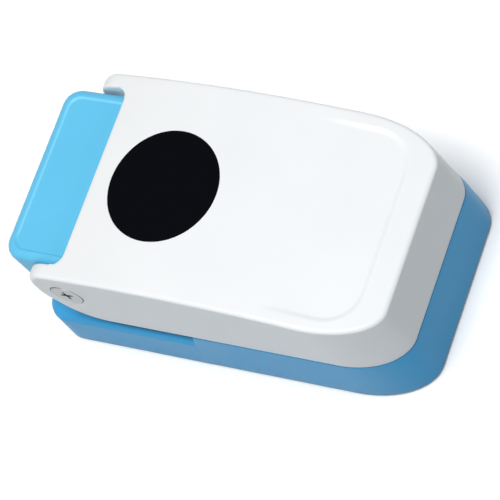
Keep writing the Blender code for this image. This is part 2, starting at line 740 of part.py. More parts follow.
def countersunk_screw(name, x, y, z, length):
    """A screw whose head lies flush in the face of a plate."""
    made = new_object(name, turned(countersunk_profile(length)))
    made.location = (x, y, z)
    return finish(made, BRIGHT_STEEL, 0.32, 1.0)


def die_plate():
    """Steel die, flush with the paper table."""
    die = new_object("die_plate", prism(plate_outline(), "Z", TABLE_Z - DIE_THICKNESS, TABLE_Z))
    low, high = TABLE_Z - DIE_THICKNESS - OVERRUN, TABLE_Z + OVERRUN
    bodies = [moved(rod(HOLE_RADIUS, low, high, CUT_STEPS), CUTTER_X)]
    bodies += [moved(rod(SCREW_HOLE, low, high), x, y) for x, y in set_screw_places()]
    cut(die, "holes", gathered(bodies))
    return finish(die, TOOL_STEEL, 0.30, 1.0)


def guide_plate():
    """Steel plate over the slot, which guides the cutter and strips the paper off it."""
    guide = new_object("guide_plate", prism(plate_outline(), "Z", SEAM_Z, GUIDE_TOP_Z))
    low, high = SEAM_Z - OVERRUN, GUIDE_TOP_Z + OVERRUN
    bodies = [moved(rod(HOLE_RADIUS, low, high, CUT_STEPS), CUTTER_X)]
    bodies += [moved(rod(SCREW_HOLE, low, high), x, y) for x, y in set_screw_places()]
    bodies += [moved(rod(POST_RADIUS + CLEARANCE, SEAM_Z + CLEARANCE, high), x, y) for x, y in POST_PLACES]
    bodies += [moved(turned(countersunk_profile(NOSE_SCREW_LENGTH, CLEARANCE)), x, y, SEAM_Z)
               for x, y in nose_screw_places()]
    cut(guide, "holes", gathered(bodies))
    return finish(guide, TOOL_STEEL, 0.32, 1.0)


def throat_spacer():
    """Block between the two plates, which sets the slot's height and stops the paper."""
    half = HEAD_HALF
    body = block((THROAT_X, SPACER_END), (-half, half), (TABLE_Z + CLEARANCE, SEAM_Z - CLEARANCE))
    spacer = new_object("throat_spacer", body)
    cut(spacer, "holes", gathered([moved(rod(SCREW_HOLE, TABLE_Z - OVERRUN, SEAM_Z + OVERRUN), x, y)
                                   for x, y in set_screw_places()]))
    return finish(spacer, GREY_ACETAL, 0.5)


def head_outline(inset=0.0, height=0.0):
    """Half outline of the head housing: round corners at the head end, square ones at its tail."""
    radius = HEAD_CORNER_RADIUS - inset
    half = HEAD_HALF - inset
    points = arc((HEAD_END + HEAD_CORNER_RADIUS, half - radius), radius, pi, pi / 2)
    return points + [(TAIL_X - inset, half)]


def head_housing():
    """Blue head over the paper slot: it carries the pivot and guides the cutter's carrier."""
    rings = [ring(head_outline(), level(SEAM_Z))]
    for step in range(EDGE_STEPS + 1):
        turn = pi / 2 * step / EDGE_STEPS
        z = HEAD_Z - HEAD_EDGE_RADIUS * (1 - sin(turn))
        rings.append(ring(head_outline(HEAD_EDGE_RADIUS * (1 - cos(turn))), level(z)))
    head = new_object("head_housing", loft(rings))
    deck_x = PIVOT_X + HEAD_DECK_START
    wide = HEAD_HALF + OVERRUN
    cut(head, "deck", block((deck_x, TAIL_X + OVERRUN), (-wide, wide), (DECK_Z, HEAD_Z + OVERRUN)))
    cut(head, "panel", loft(head_panel_rings()))
    cut(head, "plate_seat", prism(plate_outline(CLEARANCE), "Z", SEAM_Z - OVERRUN, SEAT_Z))
    cheek = HEAD_HALF - HEAD_CHEEK_WALL
    well_start = PIVOT_X + AXLE_RADIUS
    cut(head, "front_hollow", block((HEAD_END + HEAD_FRONT_WALL, CUTTER_X), (-cheek, cheek),
                                    (SEAT_Z - OVERRUN / 2, HEAD_Z - HEAD_TOP_WALL)))
    cut(head, "well", block((well_start, THROAT_X - DIE_LAND / 2), (-HEAD_INNER, HEAD_INNER),
                            (SEAT_Z - OVERRUN / 2, DECK_Z + OVERRUN)))
    add(head, "inner_works", head_inner_works())
    cut(head, "holes", head_holes())
    return finish(head, SKY_BLUE, 0.38)


def head_panel_rings():
    """Shallow sunk panel in the top of the head, open towards the lever."""
    end = NOTCH_X + OVERRUN
    corner = HEAD_CORNER_RADIUS - HEAD_PANEL_BORDER / 2
    rings = []
    rim = HEAD_PANEL_BORDER - HEAD_PANEL_SLOPE
    for inset, z in ((HEAD_PANEL_BORDER, HEAD_Z - HEAD_PANEL_DEPTH), (rim, HEAD_Z), (rim, HEAD_Z + OVERRUN)):
        half = HEAD_HALF - inset
        points = arc((HEAD_END + inset + corner, half - corner), corner, pi, pi / 2, CORNER_STEPS // 2)
        rings.append(ring(points + [(end, half)], level(z)))
    return rings


def head_inner_works():
    """Rails that stop the carrier at the top of its stroke, and bosses for the short screws."""
    rail_start = PIVOT_X + STOP_RAIL_START
    bodies = []
    for side in (-1, 1):
        y_range = sorted((side * (HEAD_INNER + HEAD_WALL / 2), side * (HEAD_INNER - STOP_RAIL_WIDTH)))
        bodies.append(block((rail_start, rail_start + STOP_RAIL_LENGTH), y_range, (RAIL_Z, DECK_Z)))
    for x, y in nose_screw_places():
        bodies.append(moved(rod(BOSS_RADIUS, SEAT_Z, HEAD_Z - HEAD_TOP_WALL / 2), x, y))
    return gathered(bodies)


def head_holes():
    """Axle bore, screw and post holes, and the pocket that cores out the tail."""
    wide = HEAD_HALF + OVERRUN
    axle_bore = laid_along_y(rod(AXLE_RADIUS + CLEARANCE, -wide, wide, CUT_STEPS // 2))
    bodies = [moved(axle_bore, PIVOT_X, 0, PIVOT_Z)]
    top = TABLE_Z - TABLE_DECK + SET_SCREW_LENGTH
    bodies += [moved(rod(SCREW_HOLE, SEAT_Z - OVERRUN, top), x, y) for x, y in set_screw_places()]
    top = SEAM_Z + NOSE_SCREW_LENGTH + CLEARANCE
    bodies += [moved(rod(SCREW_HOLE, SEAT_Z - OVERRUN, top), x, y) for x, y in nose_screw_places()]
    post_top = (RAIL_Z + DECK_Z) / 2
    bodies += [moved(rod(POST_RADIUS + CLEARANCE, RAIL_Z - OVERRUN, post_top), x, y) for x, y in POST_PLACES]
    half = SET_SCREW_Y - TAIL_POCKET_FROM_SCREW
    pocket_start = THROAT_X - DIE_LAND / 2 + TAIL_POCKET_WALL
    bodies.append(block((pocket_start, TAIL_X - TAIL_POCKET_WALL), (-half, half),
                        (SEAT_Z + TAIL_POCKET_FLOOR, DECK_Z + OVERRUN)))
    return gathered(bodies)


def circle_cutter():
    """Round steel cutter; its face is a shallow valley, so that it shears from two sides inwards."""
    cutter = new_object("circle_cutter", moved(rod(CUT_RADIUS, CUTTER_Z, CUTTER_TOP_Z, CUT_STEPS), CUTTER_X))
    reach = CUT_RADIUS + CLEARANCE
    valley = [(-reach, CUTTER_Z - OVERRUN), (reach, CUTTER_Z - OVERRUN), (reach, CUTTER_Z),
              (0, CUTTER_Z + SHEAR_RISE), (-reach, CUTTER_Z)]
    cut(cutter, "valley", prism(valley, "X", CUTTER_X - reach, CUTTER_X + reach))
    floor = CUTTER_TOP_Z - CUTTER_HEIGHT / 2
    cut(cutter, "holes", gathered([moved(rod(SCREW_HOLE, floor, CUTTER_TOP_Z + OVERRUN), x, 0)
                                   for x in cutter_screw_xs()]))
    return finish(cutter, TOOL_STEEL, 0.25, 1.0)


def cutter_screw_xs():
    return [CUTTER_X + side * CUTTER_SCREW_SPACING / 2 for side in (-1, 1)]


def cutter_carrier():
    """Moulded carrier that the cutter is screwed to; it slides on the posts and holds the drive pin."""
    disc_top = CARRIER_Z + CARRIER_DISC_THICKNESS
    disc = rod(CUT_RADIUS - CARRIER_RIM_SETBACK, CARRIER_Z, disc_top, CUT_STEPS)
    carrier = new_object("cutter_carrier", moved(disc, CUTTER_X))
    x_range = (CUTTER_X - CARRIER_BLOCK_LENGTH / 2, CUTTER_X + CARRIER_BLOCK_LENGTH / 2)
    block_half = POST_Y - CARRIER_BLOCK_FROM_POST
    wing_half = HEAD_INNER - CLEARANCE
    block_low = disc_top - CARRIER_DISC_THICKNESS / 2
    add(carrier, "block", block(x_range, (-block_half, block_half), (block_low, BLOCK_TOP_Z)))
    wing = (x_range[0] + CLEARANCE, x_range[1] - CLEARANCE)
    add(carrier, "wings", block(wing, (-wing_half, wing_half), (WING_Z, BLOCK_TOP_Z - CLEARANCE)))
    cheek_top = PIVOT_Z + DRIVE_PIN_RADIUS + CLEARANCE + CHEEK_TOP_MARGIN
    cheeks = []
    for side in (-1, 1):
        outer = side * (CHEEK_SPACING / 2 + CHEEK_THICKNESS / 2)
        inner = side * (CHEEK_SPACING / 2 - CHEEK_THICKNESS / 2)
        cheek_range = (CUTTER_X - CHEEK_LENGTH / 2, CUTTER_X + CHEEK_LENGTH / 2)
        cheeks.append(block(cheek_range, sorted((outer, inner)),
                            (BLOCK_TOP_Z - CARRIER_WING_THICKNESS, cheek_top)))
    add(carrier, "cheeks", gathered(cheeks))
    cut(carrier, "holes", carrier_holes())
    return finish(carrier, GREY_ACETAL, 0.5)


def carrier_holes():
    """Slots for the drive pin, holes for the posts and stepped holes for the cutter's screws."""
    pin_room = DRIVE_PIN_RADIUS + CLEARANCE
    slot = arc((CUTTER_X, PIVOT_Z), pin_room, pi / 2, -pi / 2)
    slot += arc((CUTTER_X - PIN_SWING, PIVOT_Z), pin_room, -pi / 2, -3 * pi / 2)
    half = CHEEK_SPACING / 2 + CHEEK_THICKNESS
    bodies = [prism(slot, "Y", -half, half)]
    bodies += [moved(rod(POST_RADIUS + CLEARANCE, WING_Z - OVERRUN, BLOCK_TOP_Z + OVERRUN), x, y)
               for x, y in POST_PLACES]
    head_seat = CARRIER_Z + CARRIER_DISC_THICKNESS
    for x in cutter_screw_xs():
        bodies.append(moved(stepped_rod(SCREW_HOLE, CARRIER_Z - OVERRUN, head_seat,
                                        SCREW_HEAD_RADIUS + CLEARANCE, BLOCK_TOP_Z + OVERRUN), x, 0))
    return gathered(bodies)


def cutter_screws():
    """Two screws that pull the cutter up against its carrier."""
    head_z = CARRIER_Z + CARRIER_DISC_THICKNESS + CLEARANCE + SCREW_HEAD_THICKNESS
    return [screw(f"cutter_screw_{number}", x, 0, head_z, CUTTER_SCREW_LENGTH, head_up=True)
            for number, x in enumerate(cutter_screw_xs(), 1)]


def guide_posts():
    """Four steel posts between the guide plate and the stop rails."""
    made = []
    low = SEAM_Z + 2 * CLEARANCE
    high = (RAIL_Z + DECK_Z) / 2 - CLEARANCE
    for number, (x, y) in enumerate(POST_PLACES, 1):
        post = new_object(f"guide_post_{number}", rod(POST_RADIUS, 0, high - low, CORNER_STEPS + 2))
        post.location = (x, y, low)
        made.append(finish(post, BRIGHT_STEEL, 0.25, 1.0))
    return made


def return_springs():
    """Four wire springs round the posts, which lift the carrier and the lever."""
    made = []
    low = GUIDE_TOP_Z + CLEARANCE + SPRING_WIRE_RADIUS
    rise = WING_Z - CLEARANCE - SPRING_WIRE_RADIUS - low
    count = int(SPRING_TURNS * SPRING_STEPS) + 1
    for number, (x, y) in enumerate(POST_PLACES, 1):
        wire = bpy.data.curves.new(f"return_spring_{number}", "CURVE")
        wire.dimensions = "3D"
        wire.bevel_depth = SPRING_WIRE_RADIUS
        wire.bevel_resolution = 1
        wire.use_fill_caps = True
        coil = wire.splines.new("POLY")
        coil.points.add(count - 1)
        for step, point in enumerate(coil.points):
            share = step / (count - 1)
            turn = 2 * pi * SPRING_TURNS * share
            point.co = (SPRING_RADIUS * cos(turn), SPRING_RADIUS * sin(turn), rise * share, 1.0)
        spring = bpy.data.objects.new(wire.name, wire)
        spring.location = (x, y, low)
        bpy.context.scene.collection.objects.link(spring)
        made.append(finish(spring, BRIGHT_STEEL, 0.3, 1.0))
    return made


def pivot_axle():
    """Steel axle through the head, bored at both ends for the pivot screws."""
    half = EAR_OUTER - PIVOT_SCREW_HEAD_THICKNESS - CLEARANCE
    bore = PIVOT_SCREW_SHANK_RADIUS + CLEARANCE
    floor = half - AXLE_BORE_DEPTH
    profile = [(0, -floor), (bore, -floor), (bore, -half), (AXLE_RADIUS, -half), (AXLE_RADIUS, half),
               (bore, half), (bore, floor), (0, floor)]
    axle = new_object("pivot_axle", laid_along_y(turned(profile, CUT_STEPS // 2)))
    axle.location = (PIVOT_X, 0, PIVOT_Z)
    return finish(axle, BRIGHT_STEEL, 0.28, 1.0)


def pivot_screws():
    """Flat cross-slotted screws, flush in the outer faces of the ears."""
    made = []
    length = PIVOT_SCREW_HEAD_THICKNESS + PIVOT_SCREW_SHANK_LENGTH
    profile = [(0, 0), (PIVOT_SCREW_HEAD_RADIUS, 0), (PIVOT_SCREW_HEAD_RADIUS, PIVOT_SCREW_HEAD_THICKNESS),
               (PIVOT_SCREW_SHANK_RADIUS, PIVOT_SCREW_HEAD_THICKNESS), (PIVOT_SCREW_SHANK_RADIUS, length),
               (0, length)]
    for name, side in (("pivot_screw_near", -1), ("pivot_screw_far", 1)):
        made.append(new_object(name, turned(profile, CUT_STEPS // 2)))
        cut(made[-1], "recess", cross_cutter(CROSS_LENGTH, CROSS_WIDTH, CROSS_DEPTH))
        place = Matrix.Translation((PIVOT_X, side * EAR_OUTER, PIVOT_Z))
        place = place @ Matrix.Rotation(side * pi / 2, 4, "X")
        made[-1].matrix_world = place
        made[-1].modifiers["recess"].object.matrix_world = place
        finish(made[-1], BRIGHT_STEEL, 0.30, 1.0)
    return made


def pivot_washers():
    """Nylon washers between the head and the ears."""
    made = []
    inner = AXLE_RADIUS + CLEARANCE
    low, high = CLEARANCE, EAR_GAP - CLEARANCE
    profile = [(inner, low), (WASHER_RADIUS, low), (WASHER_RADIUS, high), (inner, high)]
    for name, side in (("pivot_washer_near", -1), ("pivot_washer_far", 1)):
        washer = new_object(name, laid_along_y(turned(profile, CUT_STEPS // 2, closed=True), side))
        washer.location = (PIVOT_X, side * HEAD_HALF, PIVOT_Z)
        made.append(finish(washer, NYLON, 0.5))
    return made


def lever():
    """White lever: a drafted shell with an arched top, two ears, ribs and the latch tongue."""
    start = PIVOT_X - EAR_END_RADIUS - OVERRUN
    low = half_outline(SEAM_PLAN, start, straight_steps=STRAIGHT_STEPS)
    rings = [ring(low, level(LEVER_Z))]
    for step in range(EDGE_STEPS + 1):
        turn = pi / 2 * step / EDGE_STEPS
        drop = LEVER_EDGE_RADIUS * (1 - sin(turn))
        inset = LEVER_EDGE_RADIUS * (1 - cos(turn))
        outline = half_outline(CROWN_PLAN, start, 0.0, inset, STRAIGHT_STEPS)
        rings.append(ring(outline, lambda x, drop=drop: lever_top(x) - drop))
    made = new_object("lever", loft(rings))
    cut(made, "hollow", lever_hollow())
    head_room = plate_underside(NOTCH_X)
    cut(made, "head_room", block((start - OVERRUN, CUTTER_X), (-EAR_INNER, EAR_INNER),
                                 (LEVER_Z - OVERRUN, head_room)))
    cut(made, "notch", prism(notch_outline(start), "Z", LEVER_Z - OVERRUN, CROWN_Z + OVERRUN))
    cut(made, "ear_ends", prism(ear_end_outline(start), "Y", -BASE_WIDTH / 2, BASE_WIDTH / 2))
    seat_depth = DISC_THICKNESS - DISC_PROUD + CLEARANCE
    cut(made, "disc_seat", disc_body(DISC_RADIUS + CLEARANCE, seat_depth, OVERRUN))
    cut(made, "palm_hollow", palm_hollow())
    add(made, "ribs", lever_ribs())
    cut(made, "bores", lever_bores())
    return finish(made, SNOW_WHITE, 0.35)


def lever_hollow():
    """Room inside the lever's walls, from the ears' roots to the press end."""
    start = PIVOT_X + EAR_ROOT_FROM_PIVOT
    low = half_outline(SEAM_PLAN, start, 0.0, LEVER_WALL, STRAIGHT_STEPS)
    high = half_outline(CROWN_PLAN, start, 0.0, LEVER_WALL, STRAIGHT_STEPS)
    return loft([ring(low, level(LEVER_Z - OVERRUN)), ring(high, plate_underside)])


def notch_outline(start):
    """Opening between the ears in which the head shows."""
    inner = EAR_INNER - NOTCH_RADIUS
    corner_x = NOTCH_X - NOTCH_RADIUS
    points = [(start - OVERRUN, -EAR_INNER)]
    points += arc((corner_x, -inner), NOTCH_RADIUS, -pi / 2, 0, CORNER_STEPS // 2)
    points += arc((corner_x, inner), NOTCH_RADIUS, 0, pi / 2, CORNER_STEPS // 2)
    return points + [(start - OVERRUN, EAR_INNER)]


def ear_end_outline(start):
    """What is cut away outside the ears' rounded ends, seen from the side."""
    left = PIVOT_X - EAR_END_RADIUS
    top_x = left + EAR_TOP_RADIUS
    top_centre = (top_x, lever_top(top_x) - EAR_TOP_RADIUS)
    points = [(top_x, CROWN_Z + OVERRUN)]
    points += arc(top_centre, EAR_TOP_RADIUS, pi / 2, pi)
    points += arc((PIVOT_X, PIVOT_Z), EAR_END_RADIUS, pi, EAR_HEEL_ANGLE, CORNER_STEPS // 2)
    heel = Vector(points[-1])
    heel_pull = heel + EAR_HEEL_REACH * Vector((-sin(EAR_HEEL_ANGLE), cos(EAR_HEEL_ANGLE)))
    toe = Vector((PIVOT_X + EAR_TOE_FROM_PIVOT, LEVER_Z))
    toe_pull = toe - Vector((EAR_TOE_REACH, 0))
    for step in range(1, CORNER_STEPS + 1):
        share = step / CORNER_STEPS
        rest = 1 - share
        points.append(tuple(rest ** 3 * heel + 3 * rest ** 2 * share * heel_pull
                            + 3 * rest * share ** 2 * toe_pull + share ** 3 * toe))
    points.append((toe.x, LEVER_Z - OVERRUN))
    points.append((start - OVERRUN, LEVER_Z - OVERRUN))
    points.append((start - OVERRUN, CROWN_Z + OVERRUN))
    return points


def disc_body(radius, depth, proud):
    """A thin round sheet that follows the arched top, reaching below and above it."""
    centre = PIVOT_X + DISC_FROM_PIVOT
    half_steps = CUT_STEPS // 2
    turns = [pi * (step + 0.5) / half_steps for step in range(half_steps)]
    points = [(centre - radius * cos(turn), radius * sin(turn)) for turn in turns]
    return loft([ring(points, lambda x: lever_top(x) - depth), ring(points, lambda x: lever_top(x) + proud)])


def label_disc():
    """Thin black disc, set into the lever's top."""
    disc = new_object("label_disc", disc_body(DISC_RADIUS, DISC_THICKNESS - DISC_PROUD, DISC_PROUD))
    return finish(disc, INK_BLACK, 0.32)


def palm_hollow():
    """Shallow hollow for the palm: it deepens softly from nothing towards the press end."""
    start = PALM_PLAN.end - PALM_LENGTH
    ramp = PALM_LENGTH / 2

    def floor(x):
        share = min((x - start) / ramp, 1.0) - PALM_START_SHARE
        return lever_top(x) - PALM_DEPTH * (2 * share - share * share)

    points = half_outline(PALM_PLAN, start, straight_steps=STRAIGHT_STEPS)
    return loft([ring(points, floor), ring(points, lambda x: lever_top(x) + OVERRUN)])


def lever_ribs():
    """Stiffening ribs, the two ribs that hold the drive pin, and the tongue with its ledge."""
    bodies = []
    rib_start = TAIL_X + RIB_END_GAP / 2
    rib_end = TONGUE_X - RIB_END_GAP
    xs = [rib_start + (rib_end - rib_start) * step / STRAIGHT_STEPS for step in range(STRAIGHT_STEPS + 1)]
    outline = [(x, plate_underside(x) + LEVER_PLATE / 2) for x in xs]
    outline += [(x, plate_underside(x) - RIB_DEPTH) for x in reversed(xs)]
    for side in (-1, 1):
        y = side * RIB_SPACING / 2
        bodies.append(prism(outline, "Y", y - RIB_THICKNESS / 2, y + RIB_THICKNESS / 2))
    top = plate_underside(CUTTER_X) + LEVER_PLATE / 2
    outline = [(CUTTER_X + DRIVE_RIB_RADIUS, top), (CUTTER_X - DRIVE_RIB_RADIUS, top)]
    outline += arc((CUTTER_X, PIVOT_Z), DRIVE_RIB_RADIUS, pi, 2 * pi)
    inner = CHEEK_SPACING / 2 + CHEEK_THICKNESS / 2 + CLEARANCE * 3
    for side in (-1, 1):
        y_range = sorted((side * inner, side * (inner + DRIVE_RIB_THICKNESS)))
        bodies.append(prism(outline, "Y", *y_range))
    back = TONGUE_X + TONGUE_THICKNESS
    ledge_top = TONGUE_Z + LEDGE_THICKNESS
    outline = [(TONGUE_X, plate_underside(TONGUE_X) + LEVER_PLATE / 2), (TONGUE_X, ledge_top),
               (LEDGE_X, ledge_top), (TONGUE_X, TONGUE_Z), (back, TONGUE_Z),
               (back, plate_underside(back) + LEVER_PLATE / 2)]
    bodies.append(prism(outline, "Y", -TONGUE_WIDTH / 2, TONGUE_WIDTH / 2))
    return gathered(bodies)


def lever_bores():
    """Pivot bores with seats for the screw heads, and the bore for the drive pin."""
    bodies = []
    seat = EAR_OUTER - PIVOT_SCREW_HEAD_THICKNESS - CLEARANCE
    for side in (-1, 1):
        body = stepped_rod(AXLE_RADIUS + CLEARANCE, EAR_INNER - EAR_GAP / 2, seat,
                           PIVOT_SCREW_HEAD_RADIUS + CLEARANCE, EAR_OUTER + OVERRUN)
        bodies.append(moved(laid_along_y(body, side), PIVOT_X, 0, PIVOT_Z))
    half = CHEEK_SPACING / 2 + CHEEK_THICKNESS + DRIVE_RIB_THICKNESS + OVERRUN
    bore = rod(DRIVE_PIN_RADIUS + CLEARANCE, -half, half)
    bodies.append(moved(laid_along_y(bore), CUTTER_X, 0, PIVOT_Z))
    return gathered(bodies)


def drive_pin():
    """Steel pin across the lever's ribs, which drives the carrier down and up."""
    half = CHEEK_SPACING / 2 + CHEEK_THICKNESS / 2 + CLEARANCE * 3 + DRIVE_RIB_THICKNESS
    pin = new_object("drive_pin", laid_along_y(rod(DRIVE_PIN_RADIUS, -half, half)))
    pin.location = (CUTTER_X, 0, PIVOT_Z)
    return finish(pin, BRIGHT_STEEL, 0.28, 1.0)


def lock_slider():
    """Sliding lock in the bottom cover: its nose goes over the tongue's ledge and holds the lever down."""
    start = NOSE_X - LOCK_PLATE_LENGTH
    half = LOCK_PLATE_WIDTH / 2
    plate_top = LOCK_Z + LOCK_PLATE_THICKNESS
    slider = new_object("lock_slider", block((start, NOSE_X), (-half, half), (LOCK_Z, plate_top)))
    nose_top = NOSE_Z + LOCK_NOSE_HEIGHT
    column = NOSE_X - LOCK_COLUMN
    outline = [(column - LOCK_COLUMN, plate_top - LOCK_PLATE_THICKNESS / 2),
               (NOSE_X - LEDGE_LENGTH, plate_top - LOCK_PLATE_THICKNESS / 2), (NOSE_X - LEDGE_LENGTH, NOSE_Z),
               (NOSE_X, NOSE_Z), (NOSE_X - LEDGE_LENGTH, nose_top), (column, nose_top)]
    add(slider, "nose", prism(outline, "Y", -TONGUE_WIDTH / 2, TONGUE_WIDTH / 2))
    tab_end = NOSE_X - LOCK_TAB_FROM_END
    tab_half = LOCK_TAB_WIDTH / 2
    tab = block((tab_end - LOCK_TAB_LENGTH, tab_end), (-tab_half, tab_half),
                (BASE_Z + LOCK_TAB_INSET, plate_top - LOCK_PLATE_THICKNESS / 2))
    add(slider, "tab", tab)
    return finish(slider, SNOW_WHITE, 0.45)


def build():
    clear_scene()
    base_shell()
    bottom_cover()
    feet()
    fixing_screws()
    die_plate()
    throat_spacer()
    guide_plate()
    head_housing()
    guide_posts()
    return_springs()
    pivot_axle()
    pivot_screws()
    pivot_washers()
    hang_on(joint_empty("lever_pivot", PIVOT_X, 0, PIVOT_Z), [lever(), label_disc(), drive_pin()])
    slide = joint_empty("cutter_axis", CUTTER_X, 0, CUTTER_Z)
    hang_on(slide, [circle_cutter(), cutter_carrier()])
    hang_on(slide, cutter_screws())
    hang_on(joint_empty("lock_axis", NOSE_X, 0, LOCK_Z), [lock_slider()])


build()
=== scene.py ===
"""Looks of a lever circle punch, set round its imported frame: satin moulded plastics, a black film
disc, plated and ground steel. Lengths are in metres, -X is the head, +X the pressed end, +Z up."""

from math import cos, pi, radians, sin

import bmesh
import bpy
import numpy as np
from mathutils import Matrix, Vector


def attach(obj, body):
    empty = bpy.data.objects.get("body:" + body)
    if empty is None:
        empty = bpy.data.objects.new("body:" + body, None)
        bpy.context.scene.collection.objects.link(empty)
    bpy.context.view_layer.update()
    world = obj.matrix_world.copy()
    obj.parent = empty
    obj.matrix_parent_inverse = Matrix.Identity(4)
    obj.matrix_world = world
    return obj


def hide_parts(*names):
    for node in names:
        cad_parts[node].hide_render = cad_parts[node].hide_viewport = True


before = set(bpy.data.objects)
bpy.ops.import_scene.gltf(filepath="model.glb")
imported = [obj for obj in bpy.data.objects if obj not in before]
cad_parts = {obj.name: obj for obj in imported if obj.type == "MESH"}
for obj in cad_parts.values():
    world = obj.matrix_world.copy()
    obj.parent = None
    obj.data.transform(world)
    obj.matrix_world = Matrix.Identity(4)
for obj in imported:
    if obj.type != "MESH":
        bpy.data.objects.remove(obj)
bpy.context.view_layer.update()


# Blue base
# Drafted shell moulded in sky-blue ABS, with the paper table at its head end. The mould was
# spark-eroded, so the skin is satin, with a fine grain. Its edges are softly broken.
# This blue is set darker than the head's blue of the same ABS: in part painted shade for the base's walls.
BASE_BLUE = (0.040, 0.338, 0.650)
BASE_ROUGHNESS, BASE_SPECULAR, BASE_EDGE = 0.38, 0.35, 0.0010
WELD = 0.00001
SHARP_ANGLE = radians(34.0)
MIX_FIRST, MIX_SECOND, MIX_RESULT = 6, 7, 2
BEVEL_SAMPLES = 6
NOISE_MEAN = 0.5
FLOW_SCALE, FLOW_DARK, FLOW_LIGHT, FLOW_ROUGHNESS = 38.0, 0.965, 1.03, 0.10
CLOUD_SCALE, CLOUD_RELIEF = 210.0, 0.25
GRAIN_SCALE, GRAIN_ROUGHNESS, GRAIN_DEPTH, GRAIN_STRENGTH = 3400.0, 0.12, 0.00002, 0.5
# Least share and cloudy spread of a painted highlight band, where a moulding has one.
HIGHLIGHT_LEAST, HIGHLIGHT_CLOUD = 0.55, 0.45


class Signal:
    """A shader output that Python's own operators extend with Math nodes."""

    def __init__(self, finish, output):
        self.finish, self.output = finish, output

    def joined(self, operation, first, second):
        return self.finish.node("ShaderNodeMath", {"operation": operation}, {0: first, 1: second})

    def __add__(self, other):
        return self.joined("ADD", self, other)

    def __sub__(self, other):
        return self.joined("SUBTRACT", self, other)

    def __rsub__(self, other):
        return self.joined("SUBTRACT", other, self)

    def __mul__(self, other):
        return self.joined("MULTIPLY", self, other)

    def __truediv__(self, other):
        return self.joined("DIVIDE", self, other)

    def __pow__(self, other):
        return self.joined("POWER", self, other)

    def __abs__(self):
        return self.joined("ABSOLUTE", self, 0.0)

    __radd__ = __add__
    __rmul__ = __mul__

    def raised(self):
        return self.joined("MAXIMUM", self, 0.0)

    def clipped(self):
        return self.joined("MINIMUM", self.raised(), 1.0)


class Finish:
    """A material in the making: every node but the shader comes from node()."""

    def __init__(self, name, roughness, metallic=0.0, specular=0.5):
        self.material = bpy.data.materials.new(name)
        self.material.use_nodes = True
        self.tree = self.material.node_tree
        self.shader = self.tree.nodes["Principled BSDF"]
        self.feed("Roughness", roughness)
        self.feed("Metallic", metallic)
        self.feed("Specular IOR Level", specular)

    def node(self, kind, settings=None, values=None, output=0):
        """Adds a node: its settings first, then its sockets."""
        made = self.tree.nodes.new(kind)
        for name, value in (settings or {}).items():
            setattr(made, name, value)
        for name, value in (values or {}).items():
            self.link(value, made.inputs[name])
        return Signal(self, made.outputs[output])

    def link(self, value, socket):
        if isinstance(value, Signal):
            self.tree.links.new(value.output, socket)
        else:
            socket.default_value = value

    def feed(self, name, value):
        self.link(value, self.shader.inputs[name])

    def place(self):
        return self.node("ShaderNodeTexCoord", output="Object")

    def noise(self, where, scale, detail=2.0, roughness=0.5):
        return self.node("ShaderNodeTexNoise", {}, {"Vector": where, "Scale": scale, "Detail": detail,
                                                    "Roughness": roughness})

    def mixed(self, share, first, second):
        """Blend of two colours by a share."""
        return self.node("ShaderNodeMix", {"data_type": "RGBA"},
                         {0: share, MIX_FIRST: first, MIX_SECOND: second}, output=MIX_RESULT)

    def relief(self, height, depth, strength=1.0, edge=0.0):
        """Bump of a height from 0 to 1 that is depth deep, over edges broken to a small radius."""
        values = {"Height": height, "Distance": depth, "Strength": strength}
        if edge > 0:
            values["Normal"] = self.node("ShaderNodeBevel", {"samples": BEVEL_SAMPLES}, {"Radius": edge})
        self.feed("Normal", self.node("ShaderNodeBump", {}, values))


def rgba(colour, level=1.0):
    return (*[channel * level for channel in colour], 1.0)


def moulded(name, colour, roughness, edge=0.0, grain=0.5, specular=0.5, painted_highlight=None):
    """Satin moulded plastic: a fine eroded grain, slow changes of tone and gloss along the flow. Where
    the painted-highlight argument gives a share, the colour pales to the second colour that it gives: a
    painted highlight."""
    finish = Finish(name, roughness, specular=specular)
    where = finish.place()
    flow = finish.noise(where, FLOW_SCALE, detail=3.0)
    cloud = finish.noise(where, CLOUD_SCALE)
    eroded = finish.noise(where, GRAIN_SCALE, roughness=0.65)
    tone = finish.mixed(flow, rgba(colour, FLOW_DARK), rgba(colour, FLOW_LIGHT))
    # Painted highlight: the colour pales where the band's share is high.
    if painted_highlight:
        share, pale = painted_highlight(finish, where)
        tone = finish.mixed(share * (HIGHLIGHT_LEAST + HIGHLIGHT_CLOUD * cloud), tone, rgba(pale))
    finish.feed("Base Color", tone)
    finish.feed("Roughness", roughness + (flow - NOISE_MEAN) * FLOW_ROUGHNESS
                + (eroded - NOISE_MEAN) * GRAIN_ROUGHNESS)
    finish.relief(eroded * grain + cloud * CLOUD_RELIEF, GRAIN_DEPTH, GRAIN_STRENGTH, edge)
    return finish.material


